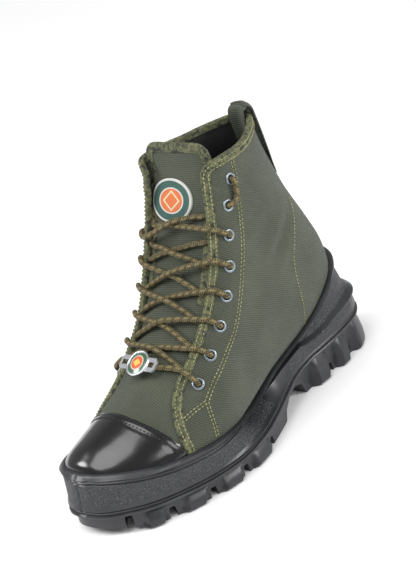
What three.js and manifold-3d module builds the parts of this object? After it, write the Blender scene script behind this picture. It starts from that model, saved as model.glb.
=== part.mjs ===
// Jungle boot for the left foot: canvas shaft, leather toe cap and a moulded rubber sole.
// Millimetres. +X points to the toe, +Y to the outer side of the foot, +Z up.

import * as THREE from "three";
import { mergeVertices } from "three/addons/utils/BufferGeometryUtils.js";
import Module from "manifold-3d";

const wasm = await Module();
wasm.setup();

// Driving dimensions of the boot
const SOLE_LENGTH = 302;
const BALL_WIDTH = 111;
const HEEL_HEIGHT = 35;
const INSTEP_HEIGHT = 112;
const COLLAR_HEIGHT = 215;

// Walls and layers
const CANVAS_WALL = 1.9;
const QUARTER_STEP = 1.1;
const CAP_LEATHER = 1.6;
const TAPE_THICKNESS = 0.8;
const TAPE_WIDTH = 6.5;
const INSOLE_THICKNESS = 3;
const TONGUE_THICKNESS = 2.2;
const SEAT_GAP = 0.3;

// Throat, collar and eyelets
const THROAT_HALF_WIDTH = 25;
const THROAT_CORNER_RADIUS = 11;
const WINDOW_BOTTOM = 40;
const THROAT_BEHIND_SEAM = 36;
const EYELETS_PER_SIDE = 8;
const EYELET_PITCH = 22.2;
const EYELET_FROM_TAPE = 5.8;
const TOP_EYELET_BELOW_COLLAR = 18;
const EYELET_DIAMETER = 9.5;
const EYELET_BORE = 5;
const EYELET_THICKNESS = 1;
const EYELET_SIDES = 8;

// Tongue
const TONGUE_HALF_WIDTH = 30;
const TONGUE_ABOVE_COLLAR = 12;
const TONGUE_CORNER_RADIUS = 11;
const TONGUE_SET_BACK = 9;
const TONGUE_TUCK = 8;
const TONGUE_SPREAD = 0.35;
const PATCH_WIDTH = 37;
const PATCH_HEIGHT = 32;
const PATCH_BELOW_COLLAR = 29;
const PATCH_TO_INNER_SIDE = 9;
const PATCH_THICKNESS = 1.2;

// Toe cap
const CAP_LENGTH = 51;
const CAP_SEAM_BOW = 12;
const CAP_ABOVE_WINDOW_BOTTOM = 1;

// Sole
const CUP_HEIGHT = 83;
const RIDGE_HEIGHT = 33;
const TOE_SPRING = 9;
const RUBBER_WALL = 2.6;
const BEAD_THICKNESS = 4.6;
const BEAD_HEIGHT = 7;
const LUG_DEPTH = 8;
const LUG_GROOVE = 6;
const LUG_GROOVE_LENGTH = 20;
const FLOOR_MARGIN = 17;

// Lace
const LACE_DIAMETER = 4;
const LACE_SIDES = 6;

// How far below its eyelets a strand sags in the middle, in rows of the last
const CROSSING_DROP = 0.2;
const BAR_DROP = 0.35;

// Tag on the lace
const TAG_DIAMETER = 18;
const TAG_LENGTH = 36;
const TAG_WING = 11;
const TAG_THICKNESS = 1.6;
const TAG_TO_INNER_SIDE = 4;

// Pull loop
const LOOP_WIDTH = 18;
const LOOP_THICKNESS = 1.8;
const LOOP_RISE = 10;
const WALL_SLANT = 1.55;
const LOOP_BOW = 7;
const LOOP_INNER_LEG = 26;
const LOOP_OUTER_LEG = 52;

// Finishes from the photograph
const finish = (color, roughness, metalness = 0) =>
  new THREE.MeshStandardMaterial({ color, roughness, metalness });

const CANVAS = finish(0x4d5142, 0.9);
const CANVAS_TONGUE = finish(0x4a4e3f, 0.9);
const TAPE = finish(0x6a6a46, 0.85);
const LEATHER = finish(0x16171b, 0.25);
const RUBBER = finish(0x303136, 0.6);
const BOARD = finish(0x24241f, 0.9);
const WEBBING = finish(0x3c4034, 0.85);
const STEEL = finish(0xb9c2ca, 0.3, 1);
const LACE_CORD = finish(0x6d6138, 0.85);
const SILVER = finish(0xd4d6d8, 0.3, 1);
const PATCH = finish(0x2c5a4c, 0.7);

// Rows of a table as objects with its column names
const table = (names, rows) =>
  rows.map((row) => Object.fromEntries(names.map((name, index) => [name, row[index]])));

// The last: sections that fan from the toe, over the instep, up to the collar.
// Each row joins a point of the sole or heel line to a point of the front line.
// backX, frontX: shares of SOLE_LENGTH. backRise: up to 1 a share of HEEL_HEIGHT, then on to the collar.
// frontRise: up to 1 a share of INSTEP_HEIGHT, then on to the collar.
// centre, half: shares of BALL_WIDTH. widest: where along the section it is widest.
// backRound, frontRound: how square the two ends of the section are.
const LAST_SECTIONS = table([
  "backX", "backRise", "frontX", "frontRise", "centre", "half", "widest", "backRound", "frontRound",
], [
  [0.97, 1.03, 0.97, 0.45, -0.095, 0.075, 0.5, 2, 2],
  [0.963, 1.005, 0.963, 0.49, -0.095, 0.145, 0.47, 2.2, 2],
  [0.949, 0.92, 0.949, 0.52, -0.09, 0.208, 0.45, 2.4, 1.85],
  [0.924, 0.82, 0.924, 0.56, -0.076, 0.27, 0.42, 2.6, 1.7],
  [0.884, 0.74, 0.884, 0.602, -0.05, 0.33, 0.38, 2.8, 1.65],
  [0.834, 0.68, 0.835, 0.65, -0.028, 0.378, 0.35, 3, 1.65],
  [0.775, 0.65, 0.778, 0.71, -0.014, 0.42, 0.33, 3, 1.75],
  [0.709, 0.65, 0.721, 0.785, 0, 0.45, 0.33, 3, 1.95],
  [0.639, 0.69, 0.666, 0.885, 0.012, 0.45, 0.36, 3, 2.3],
  [0.563, 0.76, 0.617, 0.995, 0.019, 0.417, 0.42, 3, 2.8],
  [0.483, 0.83, 0.577, 1.107, 0.013, 0.399, 0.48, 2.9, 3.4],
  [0.397, 0.9, 0.546, 1.232, 0.007, 0.391, 0.54, 2.8, 4],
  [0.305, 0.95, 0.521, 1.366, 0.003, 0.385, 0.57, 2.8, 4.3],
  [0.212, 0.98, 0.501, 1.5, 0.001, 0.379, 0.59, 2.8, 4.5],
  [0.126, 1, 0.486, 1.622, 0.001, 0.37, 0.6, 2.6, 4.5],
  [0.06, 1.03, 0.476, 1.724, -0.002, 0.363, 0.6, 2.4, 4.5],
  [0.027, 1.1, 0.469, 1.8, -0.001, 0.353, 0.6, 2.2, 4.5],
  [0.018, 1.19, 0.466, 1.858, -0.007, 0.352, 0.6, 2.1, 4.4],
  [0.025, 1.29, 0.464, 1.906, -0.006, 0.345, 0.61, 2, 3.8],
  [0.045, 1.4, 0.462, 1.95, -0.01, 0.339, 0.62, 1.9, 3.8],
  [0.072, 1.515, 0.461, 1.993, -0.014, 0.334, 0.64, 1.8, 3.8],
  [0.097, 1.63, 0.46, 2.037, -0.017, 0.33, 0.66, 1.7, 3.8],
  [0.118, 1.75, 0.459, 2.082, -0.018, 0.327, 0.68, 1.6, 3.8],
  [0.135, 1.875, 0.458, 2.132, -0.017, 0.324, 0.7, 1.5, 3.8],
  [0.147, 2.01, 0.456, 2.182, -0.017, 0.323, 0.72, 1.5, 3.8],
  [0.158, 2.16, 0.456, 2.25, 0.005, 0.323, 0.73, 1.5, 3.8],
]);
const LAST_COLUMNS = 18;

// Rows of the last between which the tongue starts to lean back, and how many rows the cap's room takes
const TONGUE_LEAN_FROM_ROW = 9;
const TONGUE_LEAN_TO_ROW = 19;
const CAP_ROWS = 6;

// The sole's widest line, from the toe along the outer side to the heel and back along the inner side.
// x: share of SOLE_LENGTH. y: share of BALL_WIDTH. ridge, cup: shares of the heights of those names.
// shelf: how far the second bead of the heel stands out, as a share of the bead.
const SOLE_LINE = table(["x", "y", "ridge", "cup", "shelf"], [
  [1.003, -0.13, 0.64, 0.63, 0],
  [0.987, 0.036, 0.6, 0.63, 0],
  [0.953, 0.155, 0.57, 0.615, 0],
  [0.899, 0.28, 0.53, 0.575, 0],
  [0.838, 0.37, 0.5, 0.535, 0],
  [0.752, 0.464, 0.48, 0.5, 0],
  [0.659, 0.514, 0.48, 0.482, 0],
  [0.573, 0.502, 0.52, 0.485, 0],
  [0.497, 0.455, 0.58, 0.51, 0],
  [0.417, 0.392, 0.67, 0.545, 0.2],
  [0.354, 0.352, 0.76, 0.58, 0.7],
  [0.288, 0.342, 0.82, 0.635, 1],
  [0.23, 0.354, 0.85, 0.7, 1],
  [0.172, 0.364, 0.88, 0.78, 1],
  [0.115, 0.36, 0.91, 0.86, 1],
  [0.06, 0.335, 0.94, 0.925, 1],
  [0.008, 0.24, 0.98, 0.98, 1],
  [-0.016, 0.03, 1, 1, 1],
  [0.006, -0.19, 0.98, 0.98, 1],
  [0.062, -0.295, 0.94, 0.925, 1],
  [0.13, -0.33, 0.9, 0.84, 1],
  [0.21, -0.332, 0.86, 0.73, 1],
  [0.285, -0.317, 0.82, 0.645, 1],
  [0.354, -0.303, 0.76, 0.59, 0.7],
  [0.417, -0.303, 0.68, 0.555, 0.2],
  [0.497, -0.335, 0.6, 0.525, 0],
  [0.573, -0.397, 0.54, 0.505, 0],
  [0.649, -0.458, 0.5, 0.5, 0],
  [0.725, -0.486, 0.5, 0.505, 0],
  [0.802, -0.482, 0.51, 0.525, 0],
  [0.872, -0.452, 0.54, 0.56, 0],
  [0.928, -0.398, 0.57, 0.59, 0],
  [0.97, -0.312, 0.6, 0.615, 0],
  [0.995, -0.228, 0.62, 0.625, 0],
]);
const SOLE_COLUMNS = 40;

// Front edge of the quarters, seen from above: along the throat, then round and down to the sole.
// behind: from the toe cap's seam back, as a share of SOLE_LENGTH. out: share of THROAT_HALF_WIDTH.
const QUARTER_FRONT = table(["behind", "out"], [
  [0.391, 1],
  [0.358, 1.14],
  [0.315, 1.24],
  [0.238, 1.22],
  [0.166, 1.16],
  [0.129, 1.08],
  [0.099, 1.1],
  [0.073, 1.2],
  [0.051, 1.4],
  [0.036, 1.68],
  [0.036, 1.92],
  [0.05, 2.24],
  [0.073, 2.64],
]);

// Grooves that part the lugs at the edge of the tread
// at: share of SOLE_LENGTH. side: 1 outer, -1 inner.
const LUG_GROOVES = table(["at", "side"], [
  [0.955, 1], [0.868, 1], [0.768, 1], [0.66, 1], [0.54, 1], [0.2, 1], [0.11, 1],
  [0.955, -1], [0.868, -1], [0.768, -1], [0.66, -1], [0.54, -1], [0.2, -1], [0.11, -1],
]);

// Underside of the toe: x as a share of SOLE_LENGTH, rise as a share of TOE_SPRING
const TOE_CURVE = table(["x", "rise"], [[0.83, 0], [0.9, 0.17], [0.95, 0.48], [0.98, 0.78], [1.02, 1.25]]);

// Arch between the heel's breast and the forefoot: x as a share of SOLE_LENGTH, rise of RIDGE_HEIGHT
const ARCH_CURVE = table(["x", "rise"], [
  [0.305, -0.03], [0.322, 0.33], [0.35, 0.42], [0.39, 0.4], [0.425, 0.25], [0.445, -0.03],
]);

// Pull loop from its inner end to its outer one. side: 1 inside the collar, -1 behind it.
// rise: from the collar up in shares of LOOP_RISE, or down in shares of that side's leg. bow: of LOOP_BOW.
const LOOP_LINE = table(["side", "rise", "bow"], [
  [1, -1, 0], [1, -0.5, 0], [1, -0.1, 0.02], [1, 0.4, 0.02], [1, 0.8, -0.3],
  [-1, 1, -0.5], [-1, 0.72, 0.2], [-1, 0.15, 0.55], [-1, -0.22, 0.66], [-1, -0.45, 0.6],
  [-1, -0.65, 0.42], [-1, -0.83, 0.18], [-1, -1, 0],
]);

// Collar seen from the side: x as a share of SOLE_LENGTH, rise as a share of COLLAR_HEIGHT
const COLLAR_LINE = table(["x", "rise"], [
  [-0.2, 1.008], [0.14, 1.008], [0.2, 1], [0.28, 0.993], [0.38, 1], [1, 1],
]);

// Plain helpers
const vec = (x, y, z) => new THREE.Vector3(x, y, z);
const mix = THREE.MathUtils.lerp;
const clamp = THREE.MathUtils.clamp;

function smoothStep(value, from, to) {
  return THREE.MathUtils.smoothstep(value, Math.min(from, to), Math.max(from, to));
}

// A cubic through four values, at a share between the middle two
function cubic(before, start, end, after, share) {
  const startSlope = (end - before) / 2;
  const endSlope = (after - start) / 2;
  const square = share * share;
  const cube = square * share;
  return (2 * cube - 3 * square + 1) * start
    + (cube - 2 * square + share) * startSlope
    + (3 * square - 2 * cube) * end
    + (cube - square) * endSlope;
}

// Solids from plain triangles
function solidFrom(positions, triangles) {
  const mesh = new wasm.Mesh({
    numProp: 3,
    vertProperties: new Float32Array(positions.flatMap((point) => [point.x, point.y, point.z])),
    triVerts: new Uint32Array(triangles),
  });
  return new wasm.Manifold(mesh);
}

// A closed body over rings with equal numbers of points, each end closed to its centre
function loft(rings) {
  const count = rings[0].length;
  const positions = rings.flat();
  const triangles = [];
  for (let ring = 0; ring + 1 < rings.length; ring += 1) {
    for (let side = 0; side < count; side += 1) {
      const next = (side + 1) % count;
      const a = ring * count + side;
      const b = ring * count + next;
      triangles.push(a, b, b + count, a, b + count, a + count);
    }
  }
  for (const end of [0, rings.length - 1]) {
    const centre = rings[end].reduce((sum, point) => sum.add(point), vec(0, 0, 0)).divideScalar(count);
    positions.push(centre);
    for (let side = 0; side < count; side += 1) {
      const a = end * count + side;
      const b = end * count + ((side + 1) % count);
      const middle = positions.length - 1;
      triangles.push(...(end === 0 ? [middle, b, a] : [middle, a, b]));
    }
  }
  if (signedVolume(positions, triangles) < 0) {
    triangles.reverse();
  }
  return solidFrom(positions, triangles);
}

function signedVolume(positions, triangles) {
  let sum = 0;
  for (let index = 0; index < triangles.length; index += 3) {
    const [a, b, c] = [0, 1, 2].map((corner) => positions[triangles[index + corner]]);
    sum += a.dot(b.clone().cross(c)) / 6;
  }
  return sum;
}

// A three.js geometry as a solid
function solidOf(geometry) {
  const plain = geometry.clone();
  plain.deleteAttribute("normal");
  plain.deleteAttribute("uv");
  const merged = mergeVertices(plain, 1e-4);
  const source = merged.getAttribute("position");
  const mesh = new wasm.Mesh({
    numProp: 3,
    vertProperties: new Float32Array(source.array),
    triVerts: new Uint32Array(merged.index.array),
  });
  return new wasm.Manifold(mesh);
}

// A prism of a flat outline, from one value to another along an axis
// side: outline in x and z, run along y. plan: outline in x and y, run along z. front: y and z, along x.
function prism(plane, outline, from, to) {
  const shape = new THREE.Shape(outline.map(([first, second]) => new THREE.Vector2(first, second)));
  const geometry = new THREE.ExtrudeGeometry(shape, { depth: to - from, bevelEnabled: false });
  geometry.translate(0, 0, from);
  if (plane === "side") {
    geometry.rotateX(Math.PI / 2);
    geometry.scale(1, -1, 1);
    flipFaces(geometry);
  }
  if (plane === "front") {
    geometry.rotateX(Math.PI / 2);
    geometry.rotateZ(Math.PI / 2);
  }
  return solidOf(geometry);
}

// ExtrudeGeometry has no index, so swapping two corners of each triangle turns it over
function flipFaces(geometry) {
  const source = geometry.getAttribute("position");
  for (let corner = 0; corner < source.count; corner += 3) {
    const [x, y, z] = [source.getX(corner), source.getY(corner), source.getZ(corner)];
    source.setXYZ(corner, source.getX(corner + 1), source.getY(corner + 1), source.getZ(corner + 1));
    source.setXYZ(corner + 1, x, y, z);
  }
}

function geometryOf(solid) {
  const mesh = solid.getMesh();
  const geometry = new THREE.BufferGeometry();
  const points = [];
  for (let index = 0; index < mesh.vertProperties.length; index += mesh.numProp) {
    points.push(...mesh.vertProperties.subarray(index, index + 3));
  }
  geometry.setAttribute("position", new THREE.BufferAttribute(new Float32Array(points), 3));
  geometry.setIndex(new THREE.BufferAttribute(new Uint32Array(mesh.triVerts), 1));
  geometry.computeVertexNormals();
  return geometry;
}

// The last as a surface
const risenBack = (share) =>
  share <= 1 ? share * HEEL_HEIGHT : mix(HEEL_HEIGHT, COLLAR_HEIGHT, share - 1);
const risenFront = (share) =>
  share <= 1 ? share * INSTEP_HEIGHT : mix(INSTEP_HEIGHT, COLLAR_HEIGHT, share - 1);

// One section of the last at a row number, whole or between rows
function sectionAt(row) {
  const last = LAST_SECTIONS.length - 1;
  const start = clamp(Math.floor(row), 0, last - 1);
  const near = [start - 1, start, start + 1, start + 2].map((index) => LAST_SECTIONS[clamp(index, 0, last)]);
  const read = (of) => cubic(of(near[0]), of(near[1]), of(near[2]), of(near[3]), row - start);
  return {
    back: vec(read((s) => s.backX) * SOLE_LENGTH, 0, read((s) => risenBack(s.backRise))),
    front: vec(read((s) => s.frontX) * SOLE_LENGTH, 0, read((s) => risenFront(s.frontRise))),
    centre: read((s) => s.centre) * BALL_WIDTH,
    half: read((s) => s.half) * BALL_WIDTH,
    widest: read((s) => s.widest),
    backRound: read((s) => s.backRound),
    frontRound: read((s) => s.frontRound),
  };
}

// Point of a section at an angle: 0 at its back or under the foot, half a turn at its front or top
function sectionPoint(section, angle) {
  const along = -Math.cos(angle);
  const round = along < 0 ? section.backRound : section.frontRound;
  const reach = Math.abs(along) ** (2 / round);
  const share = along < 0 ? section.widest * (1 - reach) : mix(section.widest, 1, reach);
  const point = section.back.clone().lerp(section.front, share);
  const side = Math.sign(Math.sin(angle)) * Math.abs(Math.sin(angle)) ** (2 / round);
  point.y = section.centre + section.half * side;
  return point;
}

const TOE_TIP = (() => {
  const first = sectionAt(0);
  const tip = first.back.clone().add(first.front).divideScalar(2);
  return vec(tip.x + first.half * 0.22, first.centre, tip.z);
})();

const lastPoint = (row, column) => sectionPoint(sectionAt(row), (2 * Math.PI * column) / LAST_COLUMNS);

// Outward direction of the last at a point of its grid
function lastNormal(row, column) {
  const rows = LAST_SECTIONS.length - 1;
  const along = lastPoint(Math.min(row + 0.3, rows), column).sub(lastPoint(Math.max(row - 0.3, 0), column));
  const around = lastPoint(row, column + 0.3).sub(lastPoint(row, column - 0.3));
  return along.cross(around).normalize();
}

const LAST_GRID = LAST_SECTIONS.map((_, row) =>
  Array.from({ length: LAST_COLUMNS }, (_, column) => ({
    point: lastPoint(row, column),
    normal: lastNormal(row, column),
  })));

// The last grown or shrunk by an even distance, or by one that changes from row to row.
// A spread over 1 makes a row wider and its front flatter.
function lastForm(offset, spread = () => 1) {
  const distance = typeof offset === "number" ? () => offset : offset;
  const rings = LAST_GRID.map((ring, row) =>
    ring.map(({ point, normal }) => {
      const moved = point.clone().addScaledVector(normal, distance(row));
      moved.y *= spread(row);
      return moved;
    }));
  const tip = TOE_TIP.clone();
  tip.x += distance(0);
  const tipRing = rings[0].map((point) => tip.clone().lerp(point, 0.02));
  return loft([tipRing, ...rings]);
}

// Cutters. Each grows by a margin, so that what meets a cut edge takes its place from the same line.
const FAR = 2 * SOLE_LENGTH;
const SKY = 1.4 * COLLAR_HEIGHT;
const CAP_SEAM = SOLE_LENGTH - CAP_LENGTH;
const THROAT_BACK = 0.34 * SOLE_LENGTH;
const THROAT_FRONT = CAP_SEAM - THROAT_BEHIND_SEAM;

// Above the collar line, a little lower at the sides than at the back
function collarCut(margin) {
  const line = COLLAR_LINE.map(({ x, rise }) => [x * SOLE_LENGTH, rise * COLLAR_HEIGHT - margin]);
  const sky = [...line].reverse().filter((_, index, all) => index === 0 || index === all.length - 1)
    .map(([x]) => [x, SKY]);
  return prism("side", [...line, ...sky], -BALL_WIDTH, BALL_WIDTH);
}

// The notch at the front of the collar, with the rounded top corners of the facings
function mouthCut(margin) {
  const radius = THROAT_CORNER_RADIUS;
  const centreY = THROAT_HALF_WIDTH + radius;
  const centreZ = COLLAR_HEIGHT - radius;
  const steps = 4;
  const side = [[THROAT_HALF_WIDTH + margin, INSTEP_HEIGHT * 1.3]];
  for (let step = 0; step <= steps; step += 1) {
    const angle = Math.PI - (Math.PI / 2) * (step / steps);
    side.push([centreY + (radius - margin) * Math.cos(angle), centreZ + (radius - margin) * Math.sin(angle)]);
  }
  side.push([centreY, SKY]);
  const other = side.map(([y, z]) => [-y, z]).reverse();
  return prism("front", [...side, ...other], THROAT_BACK, SOLE_LENGTH * 0.6);
}

const quarterLine = QUARTER_FRONT.map(({ behind, out }) =>
  new THREE.Vector2(CAP_SEAM - behind * SOLE_LENGTH, out * THROAT_HALF_WIDTH));

function windowCut(margin) {
  const side = [[THROAT_BACK, THROAT_HALF_WIDTH + margin]];
  quarterLine.forEach((point, index) => {
    const before = quarterLine[Math.max(index - 1, 0)];
    const after = quarterLine[Math.min(index + 1, quarterLine.length - 1)];
    const run = after.clone().sub(before).normalize();
    side.push([point.x - run.y * margin, point.y + run.x * margin]);
  });
  side.push([SOLE_LENGTH * 1.2, BALL_WIDTH]);
  const other = side.map(([x, y]) => [x, -y]).reverse();
  return prism("plan", [...side, ...other], WINDOW_BOTTOM, SKY);
}

// The hole through the wall for the throat. It ends where the vamp and the tongue meet.
function throatCut(margin) {
  const outline = [
    [THROAT_FRONT + margin, INSTEP_HEIGHT * 0.55],
    [THROAT_FRONT + margin, SKY],
    [THROAT_BACK, SKY],
    [THROAT_BACK, INSTEP_HEIGHT * 1.3],
    [SOLE_LENGTH * 0.5, INSTEP_HEIGHT * 0.8],
  ];
  return prism("side", outline, -BALL_WIDTH, BALL_WIDTH).intersect(windowCut(margin));
}

const openTop = (margin) => collarCut(margin).add(mouthCut(margin));

// Plan of the sole's widest line, moved inward by a margin
const SOLE_CURVE = new THREE.CatmullRomCurve3(
  SOLE_LINE.map(({ x, y }) => vec(x * SOLE_LENGTH, y * BALL_WIDTH, 0)), true, "centripetal");

function soleColumns(count) {
  return Array.from({ length: count }, (_, index) => {
    const along = SOLE_CURVE.getUtoTmapping(index / count);
    const point = SOLE_CURVE.getPoint(along);
    const run = SOLE_CURVE.getTangent(along);
    const place = along * SOLE_LINE.length;
    const start = Math.floor(place) % SOLE_LINE.length;
    const near = [-1, 0, 1, 2].map((step) =>
      SOLE_LINE[(start + step + SOLE_LINE.length) % SOLE_LINE.length]);
    const share = place - Math.floor(place);
    const read = (key) => cubic(near[0][key], near[1][key], near[2][key], near[3][key], share);
    return {
      point,
      outward: vec(run.y, -run.x, 0).normalize(),
      ridge: read("ridge") * RIDGE_HEIGHT,
      cup: read("cup") * CUP_HEIGHT,
      shelf: clamp(read("shelf"), 0, 1),
    };
  });
}

// The upper: base wall, with the quarters one step higher and cut back to their front edge
const quarterForm = lastForm(QUARTER_STEP);
const innerForm = lastForm(-CANVAS_WALL);
const floorOutline = soleColumns(24).map(({ point, outward }) => [
  point.x - outward.x * FLOOR_MARGIN,
  point.y - outward.y * FLOOR_MARGIN,
]);
const floorOpening = prism("plan", floorOutline, 0, HEEL_HEIGHT + CANVAS_WALL + 4);

const upper = lastForm(0)
  .add(quarterForm.subtract(windowCut(0)))
  .subtract(innerForm)
  .subtract(throatCut(0))
  .subtract(openTop(0))
  .subtract(floorOpening);

// Toe cap: leather over the front of the vamp, its lower edge tucked into the rubber
function capRegion(margin) {
  const steps = 8;
  const seam = Array.from({ length: steps + 1 }, (_, step) => {
    const y = mix(-0.6, 0.6, step / steps) * BALL_WIDTH;
    const bow = CAP_SEAM_BOW * (y / (BALL_WIDTH * 0.45)) ** 2;
    return [CAP_SEAM - bow - margin, y];
  });
  const outline = [...seam, [FAR, 0.6 * BALL_WIDTH], [FAR, -0.6 * BALL_WIDTH]];
  return prism("plan", outline, WINDOW_BOTTOM + CAP_ABOVE_WINDOW_BOTTOM, INSTEP_HEIGHT);
}
const toeCap = lastForm(SEAT_GAP + CAP_LEATHER)
  .subtract(lastForm(SEAT_GAP))
  .intersect(capRegion(0))
  .intersect(windowCut(-TAPE_THICKNESS - 2 * SEAT_GAP));

// Tongue: under the facings, from the vamp up past the collar, leaning back towards the ankle
const tongueLean = (row) => smoothStep(row, TONGUE_LEAN_FROM_ROW, TONGUE_LEAN_TO_ROW);
const tongueDepth = (row) => CANVAS_WALL + SEAT_GAP + TONGUE_SET_BACK * tongueLean(row);
const tongueSpread = (row) => 1 + TONGUE_SPREAD * tongueLean(row);
const tongueForm = (lift) => lastForm((row) => lift - tongueDepth(row), tongueSpread);

function tongueRegion() {
  const radius = TONGUE_CORNER_RADIUS;
  const top = COLLAR_HEIGHT + TONGUE_ABOVE_COLLAR;
  const steps = 4;
  const side = [[TONGUE_HALF_WIDTH, INSTEP_HEIGHT * 0.55]];
  for (let step = 0; step <= steps; step += 1) {
    const angle = (Math.PI / 2) * (step / steps);
    side.push([
      TONGUE_HALF_WIDTH - radius + radius * Math.cos(angle),
      top - radius + radius * Math.sin(angle),
    ]);
  }
  const other = side.map(([y, z]) => [-y, z]).reverse();
  return prism("front", [...side, ...other], THROAT_BACK, THROAT_FRONT + TONGUE_TUCK);
}
const tongue = tongueForm(0).subtract(tongueForm(-TONGUE_THICKNESS)).intersect(tongueRegion());

// Insole: a board on the turned-in margin of the upper, cut to the inside of the last
const FOOT_ROWS = LAST_SECTIONS.filter(({ backRise }) => backRise <= 1.12);
const boardLine = FOOT_ROWS.map((_, row) => sectionAt(row).back);
const boardTop = CANVAS_WALL + SEAT_GAP + INSOLE_THICKNESS;
const boardSlab = prism("side", [
  ...boardLine.map((point) => [point.x, point.z + boardTop]),
  ...boardLine.map((point) => [point.x, point.z - CANVAS_WALL]).reverse(),
], -BALL_WIDTH, BALL_WIDTH);
const insole = lastForm(-CANVAS_WALL - SEAT_GAP).intersect(boardSlab);

// Sole: rings of its side from the tread up to the lip that holds the upper, and down inside it
const caster = new THREE.Raycaster();
const quarterMesh = new THREE.Mesh(geometryOf(quarterForm), CANVAS);

// How far outside the sole's widest line the upper lies at a height, negative when inside it
function upperReach(column, height) {
  const reach = BALL_WIDTH / 2;
  const origin = column.point.clone().addScaledVector(column.outward, reach);
  origin.z = height;
  caster.set(origin, column.outward.clone().negate());
  const [hit] = caster.intersectObject(quarterMesh);
  return hit ? reach - hit.distance : -reach;
}

function soleSide(column) {
  const { ridge, cup, shelf } = column;
  const beadFoot = cup - BEAD_HEIGHT;
  const lip = upperReach(column, cup);
  const slope = (upperReach(column, cup - BEAD_HEIGHT / 2) - lip) / (BEAD_HEIGHT / 2);
  const stretch = Math.min(Math.hypot(1, slope), 2.2);
  const foot = upperReach(column, beadFoot) + BEAD_THICKNESS * 0.65;
  const wall = (share, out) => {
    const height = mix(ridge + 2, beadFoot, share);
    return [Math.max(mix(-1.2, foot, share) + out, upperReach(column, height) + RUBBER_WALL), height];
  };
  return [
    [-1.8, 0],
    [-0.4, 2.5],
    [-1.4, ridge - 4],
    [0, ridge - 2.6],
    [0.5, ridge],
    wall(0, 0),
    wall(0.3, 0.4),
    wall(0.45, 0.4 + 1.8 * shelf),
    wall(0.58, 0.3 - 0.7 * shelf),
    wall(1, 0),
    [foot + BEAD_THICKNESS * 0.4, beadFoot + BEAD_HEIGHT * 0.3],
    [lip + BEAD_THICKNESS * 0.95 * stretch, cup - BEAD_HEIGHT * 0.3],
    [lip + BEAD_THICKNESS * 0.5 * stretch, cup],
    [lip - CANVAS_WALL * 1.5 * stretch, cup],
    [lip - CANVAS_WALL * 1.5 * stretch - BEAD_HEIGHT, cup - BEAD_HEIGHT * 2],
  ];
}

const columns = soleColumns(SOLE_COLUMNS);
const sides = columns.map(soleSide);
const soleRings = sides[0].map((_, row) =>
  columns.map(({ point, outward }, index) => {
    const [out, height] = sides[index][row];
    return vec(point.x + outward.x * out, point.y + outward.y * out, height);
  }));
const soleBlank = loft(soleRings);

// Room in the sole for the upper, and ahead of the quarters for the toe cap
const soleCavity = lastForm((row) =>
  row <= CAP_ROWS ? CAP_LEATHER + 2 * SEAT_GAP : QUARTER_STEP + SEAT_GAP);

const toeLine = TOE_CURVE.map(({ x, rise }) => [x * SOLE_LENGTH, rise * TOE_SPRING]);
const toeSpringCut = prism("side", [
  ...toeLine,
  [toeLine[toeLine.length - 1][0], -TOE_SPRING],
  [toeLine[0][0], -TOE_SPRING],
], -BALL_WIDTH, BALL_WIDTH);

const archCut = prism("side",
  ARCH_CURVE.map(({ x, rise }) => [x * SOLE_LENGTH, rise * RIDGE_HEIGHT]), -BALL_WIDTH, BALL_WIDTH);

function grooveCut({ at, side }) {
  const onSide = columns.filter(({ point }) => point.y * side > 0);
  const distance = ({ point }) => Math.abs(point.x - at * SOLE_LENGTH);
  const column = onSide.reduce((best, next) => (distance(next) < distance(best) ? next : best));
  const rise = TOE_SPRING * smoothStep(at, 0.83, 1);
  const half = LUG_GROOVE / 2;
  const profile = [
    [-half, -TOE_SPRING], [half, -TOE_SPRING], [half, rise], [half * 0.7, rise + LUG_DEPTH],
    [-half * 0.7, rise + LUG_DEPTH], [-half, rise],
  ];
  const groove = prism("front", profile, -LUG_GROOVE_LENGTH, LUG_GROOVE_LENGTH);
  const turn = THREE.MathUtils.radToDeg(Math.atan2(column.outward.y, column.outward.x));
  return groove.rotate([0, 0, turn]).translate([column.point.x, column.point.y, 0]);
}

let sole = soleBlank.subtract(soleCavity).subtract(toeSpringCut).subtract(archCut);
for (const groove of LUG_GROOVES) {
  sole = sole.subtract(grooveCut(groove));
}

// Places on the front of the boot: a row of the last, a distance to one side and a lift from the surface
function frontPoint(row, y) {
  const section = sectionAt(row);
  const share = clamp(Math.abs(y - section.centre) / section.half, 0, 1);
  const reach = (1 - share ** section.frontRound) ** (1 / section.frontRound);
  const point = section.back.clone().lerp(section.front, mix(section.widest, 1, reach));
  point.y = y;
  return point;
}

function frontNormal(row, y) {
  const along = frontPoint(row - 0.3, y).sub(frontPoint(row + 0.3, y));
  const across = frontPoint(row, y + 1).sub(frontPoint(row, y - 1));
  return across.cross(along).normalize().negate();
}

// Where a flat disc lies on the facets of the quarters: its middle, its direction and what it rests on
function discSeat(row, y, radius) {
  const normal = frontNormal(row, y);
  const side = normal.clone().cross(vec(1, 0, 0)).normalize();
  const other = normal.clone().cross(side);
  const points = [0, 1, 2, 3, 4, 5, 6, 7].map((step) => {
    const angle = (Math.PI / 4) * step;
    const start = frontPoint(row, y)
      .addScaledVector(side, radius * Math.cos(angle))
      .addScaledVector(other, radius * Math.sin(angle))
      .addScaledVector(normal, BALL_WIDTH / 4);
    caster.set(start, normal.clone().negate());
    return caster.intersectObject(quarterMesh)[0].point;
  });
  const middle = points.reduce((sum, point) => sum.add(point), vec(0, 0, 0)).divideScalar(points.length);
  const facing = points[4].clone().sub(points[0]).cross(points[6].clone().sub(points[2])).normalize();
  if (facing.dot(normal) < 0) {
    facing.negate();
  }
  const heights = points.map((point) => point.clone().sub(middle).dot(facing));
  const lift = Math.max(...heights) + 2 * SEAT_GAP;
  return { place: middle.addScaledVector(facing, lift), facing };
}

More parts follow.
